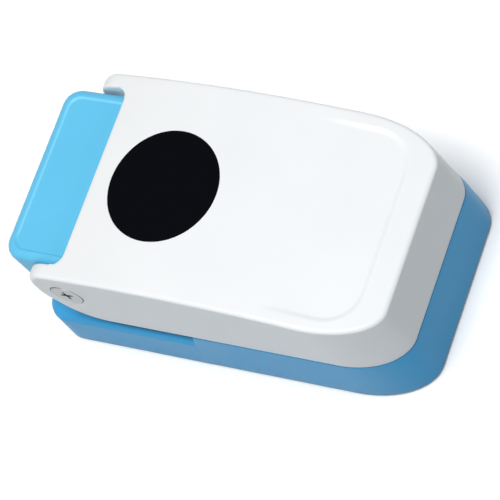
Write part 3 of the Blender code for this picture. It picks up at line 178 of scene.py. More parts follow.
def smoothed(node, material, angle=SHARP_ANGLE):
    """Welds a CAD node's loose facets and shades all edges below an angle smooth, then dresses it."""
    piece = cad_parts[node]
    tree = bpy.data.node_groups.new(f"{node}_shading", "GeometryNodeTree")
    tree.interface.new_socket("Geometry", in_out="INPUT", socket_type="NodeSocketGeometry")
    tree.interface.new_socket("Geometry", in_out="OUTPUT", socket_type="NodeSocketGeometry")
    source, result = tree.nodes.new("NodeGroupInput"), tree.nodes.new("NodeGroupOutput")
    weld = tree.nodes.new("GeometryNodeMergeByDistance")
    weld.inputs["Distance"].default_value = WELD
    bend = tree.nodes.new("GeometryNodeInputMeshEdgeAngle")
    sharp = tree.nodes.new("FunctionNodeCompare")
    sharp.operation = "GREATER_THAN"
    sharp.inputs[1].default_value = angle
    faces = tree.nodes.new("GeometryNodeSetShadeSmooth")
    edges = tree.nodes.new("GeometryNodeSetShadeSmooth")
    edges.domain = "EDGE"
    edges.inputs["Shade Smooth"].default_value = False
    for output, target in ((source.outputs[0], weld.inputs["Geometry"]),
                           (weld.outputs["Geometry"], faces.inputs["Geometry"]),
                           (faces.outputs["Geometry"], edges.inputs["Geometry"]),
                           (bend.outputs["Unsigned Angle"], sharp.inputs[0]),
                           (sharp.outputs["Result"], edges.inputs["Selection"]),
                           (edges.outputs["Geometry"], result.inputs[0])):
        tree.links.new(output, target)
    piece.modifiers.new("shading", "NODES").node_group = tree
    dress(piece, material)


def dress(piece, material):
    """Gives a piece one material."""
    piece.data.materials.clear()
    piece.data.materials.append(material)


blue = moulded("blue_plastic", BASE_BLUE, BASE_ROUGHNESS, edge=BASE_EDGE, specular=BASE_SPECULAR)
smoothed("base_shell", blue)


# Bottom cover, feet and lock slider
# The cover is moulded in the same blue, plainer and duller. Four rubber feet are pressed into it,
# and a white slider locks the lever down for storage.
RUBBER_BLACK = (0.020, 0.020, 0.021)
SLIDER_WHITE = (0.80, 0.81, 0.82)
COVER_ROUGHNESS, RUBBER_ROUGHNESS, SLIDER_ROUGHNESS = 0.46, 0.82, 0.42
COVER_GRAIN, RUBBER_GRAIN = 0.8, 1.0
SMALL_EDGE = 0.0003
CORNERS = range(1, 5)

cover_blue = moulded("cover_blue", BASE_BLUE, COVER_ROUGHNESS, edge=SMALL_EDGE, grain=COVER_GRAIN)
smoothed("bottom_cover", cover_blue)
rubber = moulded("black_rubber", RUBBER_BLACK, RUBBER_ROUGHNESS, edge=SMALL_EDGE, grain=RUBBER_GRAIN)
for number in CORNERS:
    smoothed(f"foot_{number}", rubber)
smoothed("lock_slider", moulded("slider_white", SLIDER_WHITE, SLIDER_ROUGHNESS, edge=SMALL_EDGE))


# Die set and cutter
# Die, guide plate and cutter are stamped or turned from tool steel and ground, so that fine
# parallel or round scratches cross their faces. The carrier and the paper stop are grey acetal.
TOOL_STEEL = (0.430, 0.435, 0.445)
ACETAL_GREY = (0.300, 0.310, 0.320)
PLATE_ROUGHNESS, TURNED_ROUGHNESS, ACETAL_ROUGHNESS = 0.32, 0.26, 0.48
ALONG_X, ROUND_Z = (120.0, 5200.0, 5200.0), (300.0, 300.0, 5200.0)
STAIN_SCALE, STAIN_DARK, STAIN_LIGHT, STAIN_ROUGHNESS = 160.0, 0.90, 1.06, 0.08
SCRATCH_ROUGHNESS, SCRATCH_DEPTH, SCRATCH_STRENGTH = 0.22, 0.00001, 0.6
GROUND_EDGE = 0.0002


def ground_steel(name, colour, roughness, stretch, edge=GROUND_EDGE):
    """Ground steel: noise drawn out along one direction gives the scratches of the wheel."""
    finish = Finish(name, roughness, metallic=1.0)
    where = finish.place()
    drawn = finish.node("ShaderNodeMapping", {}, {"Vector": where, "Scale": stretch})
    scratches = finish.noise(drawn, 1.0, detail=4.0, roughness=0.6)
    stain = finish.noise(where, STAIN_SCALE, detail=3.0)
    finish.feed("Base Color", finish.mixed(stain, rgba(colour, STAIN_DARK), rgba(colour, STAIN_LIGHT)))
    finish.feed("Roughness", roughness + (scratches - NOISE_MEAN) * SCRATCH_ROUGHNESS
                + (stain - NOISE_MEAN) * STAIN_ROUGHNESS)
    finish.relief(scratches, SCRATCH_DEPTH, SCRATCH_STRENGTH, edge)
    return finish.material


plate_steel = ground_steel("ground_plate", TOOL_STEEL, PLATE_ROUGHNESS, ALONG_X)
for node in ("die_plate", "guide_plate"):
    smoothed(node, plate_steel)
smoothed("circle_cutter", ground_steel("turned_steel", TOOL_STEEL, TURNED_ROUGHNESS, ROUND_Z))
acetal = moulded("grey_acetal", ACETAL_GREY, ACETAL_ROUGHNESS, edge=SMALL_EDGE)
for node in ("cutter_carrier", "throat_spacer"):
    smoothed(node, acetal)


# Small steel parts
# Cut screws, posts, axle and drive pin are drawn steel, zinc plated: bright, with faint cloudy
# stains. The springs are hard-drawn wire, and white nylon washers run between head and ears.
BRIGHT_STEEL = (0.600, 0.600, 0.610)
NYLON = (0.750, 0.740, 0.700)
PLATED_ROUGHNESS, WIRE_ROUGHNESS, NYLON_ROUGHNESS = 0.28, 0.30, 0.50
PLATED_EDGE, NYLON_EDGE = 0.0001, 0.0002
CLOUDED, ALONG_WIRE = (900.0, 900.0, 900.0), (2500.0, 2500.0, 400.0)
SPRING_ANGLE = radians(70.0)
PAIR = (1, 2)

plated = ground_steel("plated_steel", BRIGHT_STEEL, PLATED_ROUGHNESS, CLOUDED, PLATED_EDGE)
drawn_wire = ground_steel("spring_wire", BRIGHT_STEEL, WIRE_ROUGHNESS, ALONG_WIRE, edge=0.0)
in_fours = [f"{kind}_{number}" for kind in ("cover_screw", "die_set_screw", "guide_post")
            for number in CORNERS]
in_pairs = [f"{kind}_{number}" for kind in ("guide_plate_screw", "cutter_screw") for number in PAIR]
for node in in_fours + in_pairs + ["pivot_axle", "drive_pin"]:
    smoothed(node, plated)
for number in CORNERS:
    smoothed(f"return_spring_{number}", drawn_wire, SPRING_ANGLE)
nylon = moulded("white_nylon", NYLON, NYLON_ROUGHNESS, edge=NYLON_EDGE)
for node in ("pivot_washer_near", "pivot_washer_far"):
    smoothed(node, nylon)


# Head housing
# Blue moulded head between the lever's ears, in the same grained ABS as the base. Its top has a
# shallow sunk panel, and its upper edges are rounded. A painted highlight, a pale band, lies along
# the panel's step at the head's end and far side.
SKY_BLUE, HIGHLIGHT_BLUE = (0.116, 0.525, 0.800), (0.250, 0.690, 0.900)
HEAD_SHARP_ANGLE = radians(26.0)
HEAD_EDGE = 0.00012
STEP_CORNER, STEP_CORNER_X, STEP_CORNER_Y, STEP_Z = 0.0042, -0.060075, 0.022625, 0.0470
HIGHLIGHT_HALF_WIDTH, HIGHLIGHT_FADE = 0.0006, 0.0030


def painted_step_highlight(finish, where):
    """Share of the painted highlight on the panel's step: a band along its foot, at one distance from the
    rounded corners' centres. It fades out at the near side, where the step lies in shade."""
    x, y, z = (finish.node("ShaderNodeSeparateXYZ", {}, {"Vector": where}, output=axis) for axis in range(3))
    reach = ((STEP_CORNER_X - x).raised() ** 2.0 + (abs(y) - STEP_CORNER_Y).raised() ** 2.0) ** 0.5
    band = (1.0 - abs(reach - STEP_CORNER) / HIGHLIGHT_HALF_WIDTH).clipped()
    far = ((y + STEP_CORNER_Y + STEP_CORNER / 2) / HIGHLIGHT_FADE).clipped()
    top = ((z - STEP_Z) / HIGHLIGHT_HALF_WIDTH + 1.0).clipped()
    return band * far * top, HIGHLIGHT_BLUE


# The head's colour carries a painted highlight along the panel's step.
head_blue = moulded("head_blue_plastic", SKY_BLUE, BASE_ROUGHNESS, edge=HEAD_EDGE, specular=BASE_SPECULAR,
                    painted_highlight=painted_step_highlight)
smoothed("head_housing", head_blue, HEAD_SHARP_ANGLE)


# Lever
# White ABS shell, moulded in one piece: an arched top with a shallow hollow for the palm, thin
# drafted walls, and two thick ears that carry the pivot screws. Ribs stiffen it from below.
SNOW_WHITE = (0.820, 0.832, 0.845)
PIVOT_X, PIVOT_Z = -0.04495, 0.0380
CROWN_X, CROWN_Z, ARCH_RADIUS = -0.01965, 0.0511, 0.3570
LIP_Z, SEAM_HALF, SEAM_END, SEAM_ALONG, SEAM_ACROSS = 0.02055, 0.03605, 0.06585, 0.0219, 0.0130
CROWN_HALF, CROWN_END, CROWN_ALONG, CROWN_ACROSS = 0.0360, 0.06395, 0.0257, 0.0125
WALL, PLATE, EDGE = 0.0022, 0.0020, 0.0012
LIP_ROUND, LIP_INNER_ROUND, CEILING_FILLET = 0.00045, 0.0003, 0.0010
EAR_INNER, NOTCH_X, NOTCH_RADIUS, NOTCH_EDGE = 0.0310, -0.04355, 0.0040, 0.0009
PALM_HALF, PALM_END, PALM_CORNER, PALM_DEPTH, PALM_RAMP = 0.03185, 0.05615, 0.0120, 0.0005, 0.0013
PALM_FADE_START, PALM_FADE_END = 0.0235, 0.0420
TOP_START, WALL_START = NOTCH_X - NOTCH_RADIUS, -0.0384
TOP_SHARE = 0.9
CEILING_INSETS, NOTCH_LOWER_ROUND = (0.0047, 0.0040), 0.0003
CORNER_STEPS, ACROSS_STEPS, FILLET_STEPS, SOFT_STEPS = 40, 128, 10, 6
INNER_WALL_STEPS, OUTER_WALL_STEPS, BORDER_STEPS = 10, 20, 7
RUN_BREAK, COARSE_STEPS, FINE_STEPS = 0.72, 56, 42
LAST_SHARE = 0.97
WHITE_ROUGHNESS, WHITE_SPECULAR = 0.36, 0.30
SPREAD = 0.0150
SKIN, MERGE = 0.000008, 0.000002


def quarter(steps):
    """Angles of a quarter turn, both ends included."""
    return np.linspace(0.0, pi / 2, steps + 1)


def arch(x):
    """Top of the lever: a shallow parabola about the crown."""
    return CROWN_Z - (x - CROWN_X) ** 2 / (2 * ARCH_RADIUS)


def smooth_step(share):
    """0 below 0, 1 above 1, and 3s^2 - 2s^3 between."""
    clipped = np.clip(share, 0.0, 1.0)
    return clipped * clipped * (3 - 2 * clipped)


def palm_depth(x, y):
    """Depth of the palm hollow: a smooth ramp of the distance inside a rounded rectangle, which
    fades out towards the head along x."""
    reach = np.hypot(np.maximum(x - (PALM_END - PALM_CORNER), 0.0),
                     np.maximum(np.abs(y) - (PALM_HALF - PALM_CORNER), 0.0))
    inside = PALM_CORNER - reach
    fade = smooth_step((x - PALM_FADE_START) / (PALM_FADE_END - PALM_FADE_START))
    return PALM_DEPTH * smooth_step(inside / PALM_RAMP) * fade


def u_outline(half, end, along, across, inset, start):
    """A U seen from above, inset from its outer form: the near wall from start to the press end, a
    quarter ellipse, the straight end, a quarter ellipse and the far wall back. Returns x and y."""
    turn = quarter(CORNER_STEPS)
    half, end, along, across = half - inset, end - inset, along - inset, across - inset
    run = start + (end - along - start) * RUN
    x = np.concatenate([run, end - along * (1 - np.sin(turn))])
    y = np.concatenate([np.full(len(run), half), half - across * (1 - np.cos(turn))])
    middle = np.linspace(-y[-1], y[-1], ACROSS_STEPS + 1)[1:-1]
    return (np.concatenate([x, np.full(len(middle), end), x[::-1]]), np.concatenate([-y, middle, y[::-1]]))


def stacked(x, y, z):
    """Three arrays of a grid as one array of points."""
    return np.stack(np.broadcast_arrays(x, y, z), axis=-1)


def seam_row(inset, z, start=WALL_START):
    x, y = u_outline(SEAM_HALF, SEAM_END, SEAM_ALONG, SEAM_ACROSS, inset, start)
    return stacked(x, y, z)


def crown_row(inset, drop, start=TOP_START):
    x, y = u_outline(CROWN_HALF, CROWN_END, CROWN_ALONG, CROWN_ACROSS, inset, start)
    return stacked(x, y, arch(x) - palm_depth(x, y) - drop)


def wall_rows(inset, low, drop, shares):
    """Rows up a drafted wall: straight lines from the lip's outline to the crown's. Above the screw
    they start as far towards the head as the top does."""
    starts = np.where(shares > TOP_SHARE, TOP_START, WALL_START)
    return [seam_row(inset, low, start) * (1 - share) + crown_row(inset, drop, start) * share
            for share, start in zip(shares, starts)]


def notch_row(offset, drop):
    """A row along the notch between the ears, set back from its edge: two arcs and a straight."""
    turn = quarter(FILLET_STEPS)
    radius = NOTCH_RADIUS + offset
    arc_x = TOP_START + radius * np.cos(turn)
    arc_y = EAR_INNER - NOTCH_RADIUS + radius * np.sin(turn)
    middle = np.linspace(-arc_y[0], arc_y[0], ACROSS_STEPS - 2 * FILLET_STEPS + 1)[1:-1]
    x = np.concatenate([arc_x[::-1], np.full(len(middle), arc_x[0]), arc_x])
    y = np.concatenate([-arc_y[::-1], middle, arc_y])
    return stacked(x, y, arch(x) - drop)


def deck(first_row, border, drop):
    """Sheet between the two sides of a U row: rungs that start on the notch's row and ease into
    straight, even ones."""
    side = (len(border) - (ACROSS_STEPS - 1)) // 2
    side_x, side_y = border[:side, 0], -border[:side, 1]
    ease = smooth_step((side_x - side_x[0]) / SPREAD)[:, None]
    even = np.linspace(-1.0, 1.0, ACROSS_STEPS + 1)
    share = (1 - ease) * first_row[:, 1] / side_y[0] + ease * even
    x = side_x[:, None] + (1 - ease) * (first_row[:, 0] - first_row[0, 0])
    y = side_y[:, None] * share
    return stacked(x, y, arch(x) - palm_depth(x, y) - drop)


def joined_grids(name, grids, polygons=()):
    """One closed mesh from grids of points, given as (points, closed along u, closed along v), and
    from single polygons. Borders that meet are merged, then all faces are turned outwards."""
    points, faces, count = [], [], 0
    for grid, closed_u, closed_v in grids:
        rows, columns = grid.shape[:2]
        index = count + np.arange(rows * columns).reshape(rows, columns)
        if closed_u:
            index = np.vstack([index, index[:1]])
        if closed_v:
            index = np.hstack([index, index[:, :1]])
        quads = np.stack([index[:-1, :-1], index[:-1, 1:], index[1:, 1:], index[1:, :-1]], axis=-1)
        faces += quads.reshape(-1, 4).tolist()
        points.append(grid.reshape(-1, 3))
        count += rows * columns
    for polygon in polygons:
        faces.append(list(range(count, count + len(polygon))))
        points.append(np.asarray(polygon))
        count += len(polygon)
    mesh = bpy.data.meshes.new(name)
    mesh.from_pydata(np.concatenate(points).tolist(), [], faces)
    body = bmesh.new()
    body.from_mesh(mesh)
    bmesh.ops.remove_doubles(body, verts=body.verts, dist=MERGE)
    bmesh.ops.dissolve_degenerate(body, edges=body.edges, dist=MERGE)
    bmesh.ops.recalc_face_normals(body, faces=body.faces)
    body.to_mesh(mesh)
    body.free()
    return mesh


def as_piece(name, mesh, material):
    """A finished object at the origin, smooth but for its sharp edges."""
    mesh.shade_smooth()
    mesh.set_sharp_from_angle(angle=SHARP_ANGLE)
    piece = bpy.data.objects.new(name, mesh)
    bpy.context.scene.collection.objects.link(piece)
    dress(piece, material)
    return piece


RUN = np.concatenate([np.linspace(0.0, RUN_BREAK, COARSE_STEPS),
                      np.linspace(RUN_BREAK, 1.0, FINE_STEPS)[1:-1]])
soft = quarter(SOFT_STEPS)
rows = [crown_row(inset, PLATE) for inset in CEILING_INSETS]
rows += [crown_row(WALL + CEILING_FILLET * (1 - cos(turn)), PLATE + CEILING_FILLET * (1 - sin(turn)))
         for turn in soft[::-1]]
rows += wall_rows(WALL, LIP_Z + LIP_INNER_ROUND, PLATE + CEILING_FILLET,
                  np.linspace(LAST_SHARE, 0.0, INNER_WALL_STEPS))
rows += [seam_row(WALL - LIP_INNER_ROUND * (1 - cos(turn)), LIP_Z + LIP_INNER_ROUND * (1 - sin(turn)))
         for turn in soft[1::2]]
rows += [seam_row(LIP_ROUND * (1 - sin(turn)), LIP_Z + LIP_ROUND * (1 - cos(turn))) for turn in soft]
rows += wall_rows(0.0, LIP_Z + LIP_ROUND, EDGE, np.linspace(0.0, LAST_SHARE, OUTER_WALL_STEPS)[1:])
rows += [crown_row(EDGE * (1 - cos(turn)), EDGE * (1 - sin(turn))) for turn in soft]
border_end = CROWN_HALF - EAR_INNER - NOTCH_EDGE
rows += [crown_row(inset, 0.0) for inset in np.linspace(EDGE, border_end, BORDER_STEPS)[1:]]
hood = np.stack(rows)

front = [notch_row(NOTCH_EDGE * (1 - sin(turn)), NOTCH_EDGE * (1 - cos(turn))) for turn in soft]
front += [notch_row(NOTCH_LOWER_ROUND * (1 - cos(turn)), PLATE - NOTCH_LOWER_ROUND * (1 - sin(turn)))
          for turn in soft[::2]]
front = np.stack(front)
top_deck = deck(front[0], hood[-1], 0.0)
ceiling = deck(front[-1], hood[0], PLATE)
caps = []
for side in (0, -1):
    column = hood[:, side]
    low, high = np.flatnonzero(column[:, 0] > (TOP_START + WALL_START) / 2)[[0, -1]]
    caps.append(np.concatenate([column[high + 1:], front[1:-1, side], column[:low]]))
    caps += [column[[high, high + 1, low - 1, low]], column[low:high + 1]]
lever_parts = [(sheet, False, False) for sheet in (hood, front, top_deck, ceiling)]

EAR_OUTER, EAR_END_RADIUS, EAR_TOP_RADIUS = 0.03605, 0.0116, 0.0082
EAR_HEEL, EAR_HEEL_REACH, EAR_TOE_X, EAR_TOE_REACH = radians(212.0), 0.0070, -0.03845, 0.0065
EAR_ROOT_X, ROOT_REACH, ROOT_SINK, ROOT_EDGE, ROOT_ROUND = -0.03775, 0.0030, 0.0015, 0.0006, 0.0002
EAR_POINTS, EAR_FACE_STEPS = 220, 8
EAR_RUN_STEPS, EAR_TOP_STEPS, EAR_END_STEPS, EAR_TOE_STEPS = 40, 24, 12, 30
EAR_TOP_TILT = 0.06
HEAD_BLEND_X, HEAD_BLEND, END_EXTRA = -0.0500, 0.0045, 0.0009
TOE_BLEND_Z, TOE_BLEND = 0.0300, 0.0080
BEHIND_BLEND, HIDDEN_ROUND, TOE_INNER_ROUND = 0.0008, 0.00003, 0.0003
INNER_SHARES = (0.25, 0.5, 0.75)
AXLE_BORE, SCREW_SEAT, SCREW_SEAT_DEPTH, SEAT_EDGE = 0.0043, 0.0056, 0.0018, 0.0002


def ear_outline():
    """Outline of an ear from the side, as x and z: along the top towards the head, an arc down to
    the ear's end, an arc about the pivot, a Bezier curve to the toe, and the hidden root, where top
    and toe draw back into the wall."""
    top_x = PIVOT_X - EAR_END_RADIUS + EAR_TOP_RADIUS
    top_z = arch(top_x) - EAR_TOP_RADIUS
    run = np.linspace(EAR_ROOT_X, top_x, EAR_RUN_STEPS)
    top_turn = np.linspace(pi / 2 + EAR_TOP_TILT, pi, EAR_TOP_STEPS)
    end_turn = np.linspace(pi, EAR_HEEL, EAR_END_STEPS)
    heel = np.array([PIVOT_X + EAR_END_RADIUS * cos(EAR_HEEL), PIVOT_Z + EAR_END_RADIUS * sin(EAR_HEEL)])
    toe = np.array([EAR_TOE_X, LIP_Z + SKIN])
    sink = ROOT_SINK * smooth_step((run - EAR_ROOT_X) / ROOT_REACH + 1)
    share = np.linspace(0.0, 1.0, EAR_TOE_STEPS)[1:, None]
    heel_handle = heel + EAR_HEEL_REACH * np.array([-sin(EAR_HEEL), cos(EAR_HEEL)])
    toe_handle = toe - np.array([EAR_TOE_REACH, 0.0])
    curve = ((1 - share) ** 3 * heel + share ** 3 * toe + 3 * (1 - share) ** 2 * share * heel_handle
             + 3 * (1 - share) * share ** 2 * toe_handle)
    x = np.concatenate([run, top_x + EAR_TOP_RADIUS * np.cos(top_turn),
                        PIVOT_X + EAR_END_RADIUS * np.cos(end_turn), curve[:, 0], [EAR_ROOT_X]])
    z = np.concatenate([arch(run) - SKIN - sink, top_z + EAR_TOP_RADIUS * np.sin(top_turn),
                        PIVOT_Z + EAR_END_RADIUS * np.sin(end_turn), curve[:, 1], [LIP_Z + ROOT_SINK / 2]])
    return x, z


def resampled(x, z, count):
    """A closed outline at even steps of its length, with its inward normals. Corners keep a point."""
    x, z = np.append(x, x[0]), np.append(z, z[0])
    length = np.concatenate([[0.0], np.cumsum(np.hypot(np.diff(x), np.diff(z)))])
    even = np.linspace(0.0, length[-1], count, endpoint=False)
    even[np.argmin(np.abs(even - length[-2]))] = length[-2]
    px, pz = np.interp(even, length, x), np.interp(even, length, z)
    tx, tz = np.roll(px, -1) - np.roll(px, 1), np.roll(pz, -1) - np.roll(pz, 1)
    size = np.hypot(tx, tz)
    return px, pz, -tz / size, tx / size


def wall_half(x, z):
    """Half width of the lever at a point of its side wall, which leans in evenly from lip to crown."""
    low = LIP_Z + LIP_ROUND
    return SEAM_HALF + (CROWN_HALF - SEAM_HALF) * (z - low) / (arch(x) - EDGE - low)


def ear(side):
    """Grid of an ear: around its outline, and from the axle's bore over the screw's seat, the outer
    face, the rounded rim and the inner face back to the bore. Its outer face and its top are those of
    the shell, a hair further in, so that the shell covers the ear's root. side is -1 near and 1 far."""
    x, z, normal_x, normal_z = resampled(*ear_outline(), EAR_POINTS)
    turn = np.arctan2(z - PIVOT_Z, x - PIVOT_X)
    head_share = smooth_step((HEAD_BLEND_X - x) / HEAD_BLEND)
    toe_share = smooth_step((TOE_BLEND_Z - z) / TOE_BLEND)
    root_share = smooth_step((x - EAR_ROOT_X) / ROOT_EDGE + 1)
    outer_round = (EDGE + END_EXTRA * head_share) * (1 - toe_share) + LIP_ROUND * toe_share
    outer_round = outer_round * (1 - root_share) + ROOT_ROUND * root_share
    behind = smooth_step((x - TOP_START) / BEHIND_BLEND)
    inner_round = ((NOTCH_EDGE * (1 - behind) + HIDDEN_ROUND * behind) * (1 - toe_share)
                   + TOE_INNER_ROUND * toe_share)

    def circle(radius, y):
        return np.stack([PIVOT_X + radius * np.cos(turn), np.full(len(turn), y),
                         PIVOT_Z + radius * np.sin(turn)], -1)

    def rim(inset, y):
        return np.stack([x + normal_x * inset, y, z + normal_z * inset], -1)

    seat = EAR_OUTER - SCREW_SEAT_DEPTH
    outer_start = circle(SCREW_SEAT + SEAT_EDGE, 0.0)
    outer_start[:, 1] = wall_half(outer_start[:, 0], outer_start[:, 2]) - SKIN
    face = wall_half(x + normal_x * outer_round, z + normal_z * outer_round) - SKIN
    rows = [circle(AXLE_BORE, EAR_INNER), circle(AXLE_BORE, seat), circle(SCREW_SEAT, seat),
            circle(SCREW_SEAT, EAR_OUTER - SEAT_EDGE)]
    outer_end = rim(outer_round, face)
    shares = np.append(np.linspace(0.0, LAST_SHARE, EAR_FACE_STEPS), 1.0)
    rows += [outer_start + (outer_end - outer_start) * share for share in shares]
    rows += [rim(outer_round * (1 - sin(turn_step)), face - outer_round * (1 - cos(turn_step)))
             for turn_step in soft[1:]]
    rows += [rim(inner_round * (1 - cos(turn_step)), EAR_INNER + inner_round * (1 - sin(turn_step)))
             for turn_step in soft]
    inner_end = rows[-1]
    rows += [inner_end + (rows[0] - inner_end) * share for share in INNER_SHARES]
    grid = np.stack(rows)
    grid[..., 1] *= side
    return grid


RIB_START, RIB_END, RIB_Y, RIB_HALF, RIB_DEPTH, RIB_TAPER = 0.00925, 0.04445, 0.0180, 0.0008, 0.0080, 0.12
PIN_X, PIN_RIB_RADIUS, PIN_RIB_INNER, PIN_RIB_OUTER, PIN_BORE = -0.02875, 0.0039, 0.0119, 0.0141, 0.0023
TONGUE_X, TONGUE_BACK, LEDGE_X = 0.05045, 0.05295, 0.04785
TONGUE_Z, LEDGE_Z, TONGUE_HALF = 0.0076, 0.0098, 0.0060
ROOT_DEPTH, RIB_ROUND = 0.0010, 0.0003
RIB_END_STEPS, RIB_RUN_STEPS, RIB_FOOT_STEPS = 8, 24, 13
PIN_RIB_STEPS, TONGUE_POINTS, LEAST_COSINE = 96, 280, 0.0001


def rib(side):
    """Grid of a stiffening rib under the top plate: a tapered section with a half-round foot, carried
    along x. At both ends its half width follows a quarter circle down to nothing."""
    turn = quarter(RIB_END_STEPS)
    middle = np.linspace(RIB_START, RIB_END, RIB_RUN_STEPS)[1:-1]
    x = np.concatenate([RIB_START + RIB_HALF * (1 - np.cos(turn)), middle,
                        RIB_END - RIB_HALF * (1 - np.cos(turn[::-1]))])[:, None]
    half = RIB_HALF * np.concatenate([np.sin(turn), np.ones(len(middle)), np.sin(turn[::-1])])[:, None]
    foot = np.linspace(0.0, pi, RIB_FOOT_STEPS)
    across = np.concatenate([[1.0], (1 - RIB_TAPER) * np.cos(foot), [-1.0]])
    down = np.concatenate([[-ROOT_DEPTH], RIB_DEPTH - RIB_HALF * (1 - np.sin(foot)), [-ROOT_DEPTH]])
    return stacked(x, side * RIB_Y + half * across, arch(x) - PLATE - down)


def pin_rib(side):
    """Grid of a rib that holds the drive pin: round below, straight up to the plate, with a rounded
    rim. Its outline's distance from the bore's centre is a circle's or a rectangle's, by the angle."""
    turn = np.linspace(0.0, 2 * pi, PIN_RIB_STEPS, endpoint=False)
    rise = arch(PIN_X) - PLATE + ROOT_DEPTH - PIVOT_Z

    def loop(reach, y):
        upright = reach / np.maximum(np.abs(np.cos(turn)), LEAST_COSINE)
        level = rise / np.maximum(np.sin(turn), LEAST_COSINE)
        radius = np.where(np.sin(turn) > 0, np.minimum(upright, level), reach)
        return stacked(PIN_X + radius * np.cos(turn), side * y, PIVOT_Z + radius * np.sin(turn))

    def bore(y):
        return stacked(PIN_X + PIN_BORE * np.cos(turn), side * y, PIVOT_Z + PIN_BORE * np.sin(turn))

    rows = [bore(PIN_RIB_INNER), bore(PIN_RIB_OUTER)]
    rows += [loop(PIN_RIB_RADIUS - RIB_ROUND * (1 - sin(step)), PIN_RIB_OUTER - RIB_ROUND * (1 - cos(step)))
             for step in soft]
    rows += [loop(PIN_RIB_RADIUS - RIB_ROUND * (1 - cos(step)), PIN_RIB_INNER + RIB_ROUND * (1 - sin(step)))
             for step in soft]
    return np.stack(rows)


def tongue():
    """Grid and two end faces of the latch tongue: its outline from the side, with the ledge at the
    foot, carried across between two rounded edges."""
    top, back_top = arch(TONGUE_X) - PLATE + ROOT_DEPTH, arch(TONGUE_BACK) - PLATE + ROOT_DEPTH
    x, z, normal_x, normal_z = resampled(
        np.array([TONGUE_BACK, TONGUE_X, TONGUE_X, LEDGE_X, TONGUE_X, TONGUE_BACK]),
        np.array([back_top, top, LEDGE_Z, LEDGE_Z, TONGUE_Z, TONGUE_Z]), TONGUE_POINTS)
    rounding = [(RIB_ROUND * (1 - sin(turn)), RIB_ROUND * (1 - cos(turn))) for turn in soft]
    places = [(inset, back - TONGUE_HALF) for inset, back in rounding]
    places += [(inset, TONGUE_HALF - back) for inset, back in rounding[::-1]]
    grid = np.stack([stacked(x + normal_x * inset, y, z + normal_z * inset) for inset, y in places])
    return grid, [grid[0], grid[-1]]


lever_parts += [(ear(side), True, True) for side in (-1, 1)]
lever_parts += [(rib(side), False, True) for side in (-1, 1)]
lever_parts += [(pin_rib(side), True, True) for side in (-1, 1)]
tongue_grid, tongue_ends = tongue()
lever_parts.append((tongue_grid, False, True))
white = moulded("white_plastic", SNOW_WHITE, WHITE_ROUGHNESS, specular=WHITE_SPECULAR)
lever = as_piece("lever_shell", joined_grids("lever_shell", lever_parts, caps + tongue_ends), white)
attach(lever, "lever")
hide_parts("lever")


# Disc on the lever
# Round black film, die cut and stuck into a shallow seat of the lever's arched top. It stands a
# tenth of a millimetre proud, with a rounded rim.
DISC_X, DISC_RADIUS, DISC_PROUD, DISC_UNDER = -0.01765, 0.0189, 0.000098, 0.0003
DISC_STEPS, DISC_RINGS, DISC_RIM_STEPS = 160, 12, 4
INK_BLACK, INK_DARK, INK_LIGHT = (0.0026, 0.0029, 0.0044), 0.8, 1.2
FILM_ROUGHNESS, FILM_SPECULAR, FILM_CHANGE = 0.42, 0.01, 0.10
FILM_RUB_SCALE, FILM_GRAIN_SCALE, FILM_DEPTH, FILM_STRENGTH = 900.0, 2600.0, 0.00001, 0.35

around = np.linspace(0.0, 2 * pi, DISC_STEPS, endpoint=False)
rim_turn = quarter(DISC_RIM_STEPS)[1:]
radii = np.concatenate([np.linspace(0.0, DISC_RADIUS - DISC_PROUD, DISC_RINGS),
                        DISC_RADIUS - DISC_PROUD * (1 - np.sin(rim_turn))])
heights = np.concatenate([np.full(DISC_RINGS, DISC_PROUD), DISC_PROUD * np.cos(rim_turn)])
radii = np.concatenate([radii, radii[DISC_RINGS - 1::-1]])
heights = np.concatenate([heights, np.full(DISC_RINGS, -DISC_UNDER)])
disc_x = DISC_X + radii[:, None] * np.cos(around)
disc_y = radii[:, None] * np.sin(around)
disc_grid = stacked(disc_x, disc_y, arch(disc_x) + heights[:, None])

film = Finish("black_film", FILM_ROUGHNESS, specular=FILM_SPECULAR)
where = film.place()
rub = film.noise(where, FILM_RUB_SCALE, detail=4.0, roughness=0.6)
film.feed("Base Color", film.mixed(rub, rgba(INK_BLACK, INK_DARK), rgba(INK_BLACK, INK_LIGHT)))
film.feed("Roughness", FILM_ROUGHNESS + (rub - NOISE_MEAN) * FILM_CHANGE)
film.relief(film.noise(where, FILM_GRAIN_SCALE), FILM_DEPTH, FILM_STRENGTH)
disc = as_piece("lever_disc", joined_grids("lever_disc", [(disc_grid, False, True)]), film.material)
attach(disc, "lever")
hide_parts("label_disc")


# Pivot screws
# Flat-headed steel screws, zinc plated, sunk flush into the ears. The cross recess was punched
# in cold, and its inside is painted near black as painted shade; the face round it shows faint wear.
HEAD_RADIUS, HEAD_THICKNESS, HEAD_ROUND = 0.0053, 0.0015, 0.00012
SHANK_RADIUS, SHANK_LENGTH = 0.0020, 0.0075
CROSS_REACH, CROSS_HALF_WIDTH, CROSS_DEPTH, CROSS_WALL = 0.0025, 0.00056, 0.00110, 0.00018
CROSS_ROOT, CROSS_TAPER, CROSS_MARGIN = 1.15, 0.35, 1.1
CROSS_TURN = radians(9.5)
SCREW_GREY, SCREW_DARK, SCREW_LIGHT = (0.345, 0.370, 0.368), 0.9, 1.1
RECESS_SHADE_BLACK = (0.006, 0.006, 0.006)
SCREW_AROUND, SCREW_RINGS, SCREW_RIM_STEPS = 192, 48, 4
SCREW_PROUD = 0.00005
SCREW_ROUGHNESS, WEAR_SCALE, WEAR_ROUGHNESS, WEAR_DEPTH, WEAR_STRENGTH = 0.34, 1400.0, 0.18, 0.00001, 0.5
RECESS_SHADE_GAIN, RECESS_DULL_GAIN, RECESS_DULL = 6.0, 4.0, 0.4


